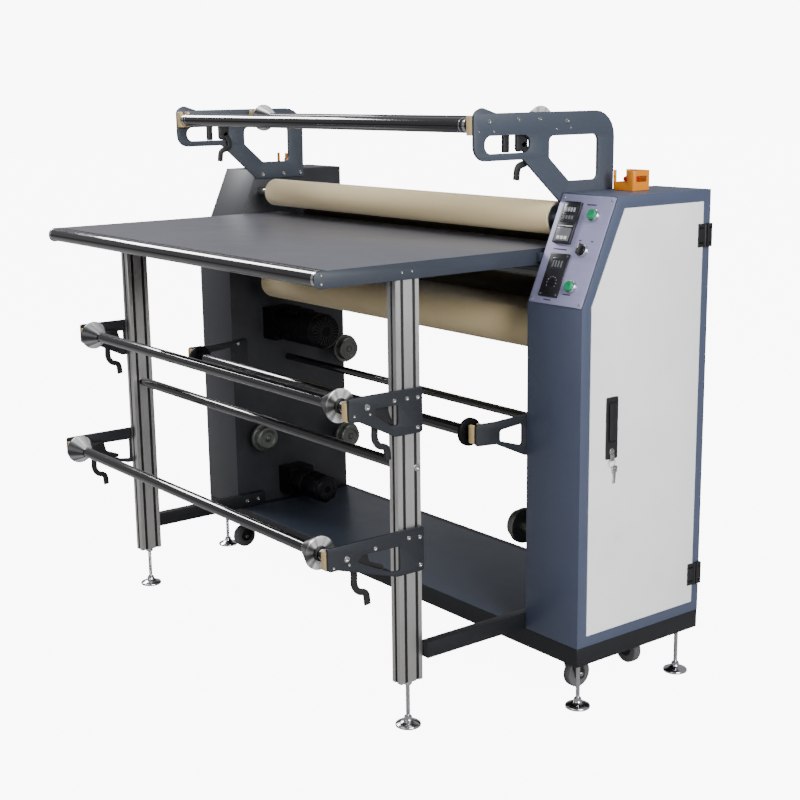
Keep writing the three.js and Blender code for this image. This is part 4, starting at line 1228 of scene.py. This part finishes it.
def feed_table():
    top = flat([rectangle(-TABLE_HALF + 0.1, TABLE_FRONT, TABLE_HALF - 0.1, TABLE_REAR, 1)],
               TABLE_TOP_Z - 3, TABLE_TOP_Z, FLAT, 0.6)
    front = box((-TABLE_HALF + 0.1, TABLE_FRONT, 894), (TABLE_HALF - 0.1, TABLE_FRONT + 3, 929), 0.5)
    piece("table_sheet", [(top, TABLE_TOP), (front, SKIRT_PAINT)], nodes=["feed_table"])
    nose = ROLLER_Y - 18
    skirt = rounded([(TABLE_REAR, TABLE_TOP_Z), (TABLE_REAR, 894), (nose, 894, 17),
                     (nose, TABLE_TOP_Z, 17)], 12)
    places = []
    for label, side in SIDES:
        x0, x1 = spread(side, TABLE_HALF, TABLE_HALF + 3)
        parts = [(plate([skirt], x0, x1, 0.6), SKIRT_PAINT)]
        t0, t1 = spread(side, TABLE_HALF + 2.9, INNER - GAP)
        parts.append((box((t0, 40, 902), (t1, 110, 922), 0.6), SKIRT_PAINT))
        piece(f"table_skirt_{label}", parts, nodes=["feed_table"])
        x = side * (TABLE_HALF + 3)
        heads = ((-359, 911), (-331, 912), (-573, 924), (-573, 905))
        places += [((x, y, z), outward(side), 3.6) for y, z in heads]
    screws("table_screws", places, STEEL)


def table_roller():
    end = -TABLE_HALF + GAP
    core = both([(end, 0), (end, 18.2)])
    parts = [(turned(core, ROLLER_Y, ROLLER_Z, 64), BLACK_GLOSS)]
    parts += [collar(side * 652, ROLLER_Y, ROLLER_Z, 18.4, 9) for side in (-1, 1)]
    piece("table_roller_turned", parts, body="table_roller", nodes=["table_roller"])


def bars():
    between_legs = LEG_OUTER - LEG_WIDE - GAP
    for name, x, radius, y, node in (("guide_bar", JOURNAL_END, 11, 205, "rear_guide_bar"),
                                     ("tie_bar", between_legs, 13, -341, "leg_tie_bar")):
        bar = turned([(-x, 0), (-x, radius), (x, radius), (x, 0)], y, 466, 48)
        piece(name, [(bar, BLACK_GLOSS)], nodes=[node])


# ---- motors and chucks ---------------------------------------------------------------------
def fan_of(rib, count, y, z, finish):
    """Copies of a rib, drawn above the X axis, all round the axis at (y, z)."""
    parts = []
    for k in range(count):
        mesh = rib.copy()
        mesh.transform(Matrix.Translation((0, y, z)) @ Matrix.Rotation(2 * math.pi * k / count, 4, "X"))
        parts.append((mesh, finish))
    bpy.data.meshes.remove(rib)
    return parts


def fan_end(x, y, z, radius):
    """A motor's fan cover: a domed disc of radial slots round a plain middle."""
    cover = [(x - 1, 0), (x - 1, radius), (x + 4, radius), (x + 9, radius - 5), (x + 9, 0)]
    rib = plate([rectangle(-1.2, radius * 0.3, 1.2, radius * 0.84, 0.6, 2)], x + 8.5, x + 10.5, 0.3)
    return [(turned(cover, y, z, 48), BLACK_CASE)] + fan_of(rib, 24, y, z, BLACK_SATIN)


def motors():
    x0 = -INNER + GAP
    y, z = 165, 585
    upper = [(box((x0, y - 50, z - 50), (x0 + 66, y + 50, z + 50), 3), BLACK_CASE)]
    body = [(x0 + 65, 0), (x0 + 65, 53), (x0 + 72, 53)]
    x = x0 + 76
    while x < x0 + 250:
        body += [(x, 53), (x, 49), (x + 4, 49), (x + 4, 53)]
        x += 9
    body += [(x0 + 268, 53), (x0 + 268, 0)]
    upper.append((turned(body, y, z, 64, size=0.3), BLACK_CASE))
    upper += fan_end(x0 + 268, y, z, 52)
    upper.append((box((x0 + 100, y - 30, z + 40), (x0 + 170, y + 30, z + 52.4), 2), BLACK_CASE))
    piece("upper_motor_case", upper, nodes=["drum_drive_motor"])
    y, z = 200, 68
    shroud = ring(y, z, 45.5, 8)
    waist = [(x0 + 119, 0), (x0 + 119, 38), (x0 + 160, 38), (x0 + 160, 0)]
    rib = box((x0 + 122, -1.4, 37), (x0 + 158, 1.4, 42.5), 0.5)
    lower = [(box((x0, y - 44, z - 44), (x0 + 70, y + 44, z + 44), 3), BLACK_CASE),
             (plate([shroud], x0 + 69, x0 + 120, 1.5), BLACK_CASE),
             (turned(waist, y, z, 48), BLACK_CASE),
             *fan_of(rib, 16, y, z, BLACK_CASE),
             (plate([shroud], x0 + 157, x0 + 205, 2.5), BLACK_CASE)]
    lower += fan_end(x0 + 203, y, z, 38)
    piece("lower_motor_case", lower, nodes=["take_up_motor"])


CHUCKS = (("upper", 400, 474), ("front", 80, 226), ("lower", 400, 182))


def chucks():
    """Each chuck stands on a hub off its cabinet's inner face; the right ones reach further in."""
    for label, side in SIDES:
        reach = 122 if side > 0 else 66
        face = INNER - GAP - reach
        hub = [(reach, 0), (reach, 17), (30, 17), (30, 0)]
        rim = [(32, 17), (32, 44), (31, 45), (21, 45), (20, 44), (20, 30), (32, 17)]
        plug = [(22, 0), (22, 36), (3, 36), (0, 33), (0, 24), (2, 23), (2, 9), (0, 8), (0, 0)]
        seat = [(3, 0), (3, 10), (0.8, 10), (0.8, 0)]
        bolt = [(4, 0), (4, 6), (0.2, 6), (0.2, 0)]
        # The dark seat ring at each chuck's middle is painted shade.
        turnings = ((hub, 40, 0.8, CHUCK_GREY), (rim, 56, 0.3, CHUCK_GREY), (plug, 56, 0.4, CHUCK_GREY),
                    (seat, 40, 0.2, RECESS_SHADE), (bolt, 6, 0.8, STEEL))
        for tag, y, z in CHUCKS:
            body = f"{tag}_chuck_{label}"
            parts = [(turned(handed(side, face, profile), y, z, count, size=size), finish)
                     for profile, count, size, finish in turnings]
            piece(f"{body}_turned", parts, body=body, nodes=[body])


# ---- camera, light and floor ---------------------------------------------------------------
VIEWPOINT = (3116.1, -2249.8, 1308.2)
CAMERA_YAW, CAMERA_PITCH, CAMERA_ROLL = (math.radians(angle) for angle in (52.54, 12.42, -0.758))
WHITE_GLOW = 9.0


def camera():
    yaw, pitch, roll = CAMERA_YAW, CAMERA_PITCH, CAMERA_ROLL
    ahead = Vector((-math.sin(yaw) * math.cos(pitch), math.cos(yaw) * math.cos(pitch), -math.sin(pitch)))
    right = Vector((math.cos(yaw), math.sin(yaw), 0))
    up = right.cross(ahead)
    across = math.cos(roll) * right + math.sin(roll) * up
    above = -math.sin(roll) * right + math.cos(roll) * up
    lens = bpy.data.cameras.new("camera")
    lens.lens = 64.08
    lens.sensor_width = 36.0
    lens.clip_end = 60
    seen = bpy.data.objects.new("camera", lens)
    turn = Matrix((across, above, -ahead)).transposed().to_4x4()
    seen.matrix_world = Matrix.Translation(PLACE @ Vector(VIEWPOINT)) @ turn
    bpy.context.scene.collection.objects.link(seen)
    bpy.context.scene.camera = seen


def lamp(name, place, aim, size, power):
    light = bpy.data.lights.new(name, "AREA")
    light.shape = "RECTANGLE"
    light.size, light.size_y = size
    light.energy = power
    made = bpy.data.objects.new(name, light)
    made.location = place
    made.rotation_euler = (Vector(aim) - Vector(place)).to_track_quat("-Z", "Y").to_euler()
    bpy.context.scene.collection.objects.link(made)


def studio():
    """A floor and an air that look white but give back little light, so that black stays black."""
    floor_mesh = bpy.data.meshes.new("studio_floor")
    reach = 30.0
    corners = [(-reach, -reach, -0.0005), (reach, -reach, -0.0005), (reach, reach, -0.0005),
               (-reach, reach, -0.0005)]
    floor_mesh.from_pydata(corners, [], [(0, 1, 2, 3)])
    board = Board("white floor")
    seen = board.node("ShaderNodeLightPath")
    glow = board.mix(seen, (0.0, 0.0, 0.0), (1.0, 1.0, 1.0))
    board.set(Base_Color=(0.3, 0.3, 0.3), Roughness=0.8)
    floor_mesh.materials.append(board.set(Emission_Color=glow, Emission_Strength=WHITE_GLOW))
    floor = bpy.data.objects.new("studio_floor", floor_mesh)
    bpy.context.scene.collection.objects.link(floor)
    world = bpy.data.worlds.new("studio air")
    world.use_nodes = True
    nodes = world.node_tree.nodes
    rays = nodes.new("ShaderNodeLightPath")
    tint = nodes.new("ShaderNodeMix")
    tint.data_type = "RGBA"
    tint.inputs[6].default_value = (0.034, 0.034, 0.036, 1)
    tint.inputs[7].default_value = (1, 1, 1, 1)
    world.node_tree.links.new(rays.outputs[0], tint.inputs[0])
    world.node_tree.links.new(tint.outputs[2], nodes["Background"].inputs["Color"])
    nodes["Background"].inputs["Strength"].default_value = WHITE_GLOW
    bpy.context.scene.world = world
    lamp("right_softbox", (4.6, -0.6, 2.6), (0.6, 0.0, 0.7), (2.4, 2.4), 300)
    lamp("front_softbox", (0.6, -4.6, 2.8), (0.0, 0.0, 0.6), (3.0, 1.6), 52)
    lamp("top_softbox", (-0.4, 0.4, 4.4), (0.0, 0.0, 0.8), (3.2, 2.0), 60)
    lamp("tube_strip", (-4.2, -0.7, 3.7), (0.0, -0.4, 0.6), (1.5, 1.3), 150)


camera()
studio()
base()
tray()
castors()
cabinets()
door()
control_panel()
buttons()
emergency_stops()
felt_blanket()
felt_rollers()
brackets()
shafts()
levers()
legs()
feed_table()
table_roller()
bars()
motors()
chucks()
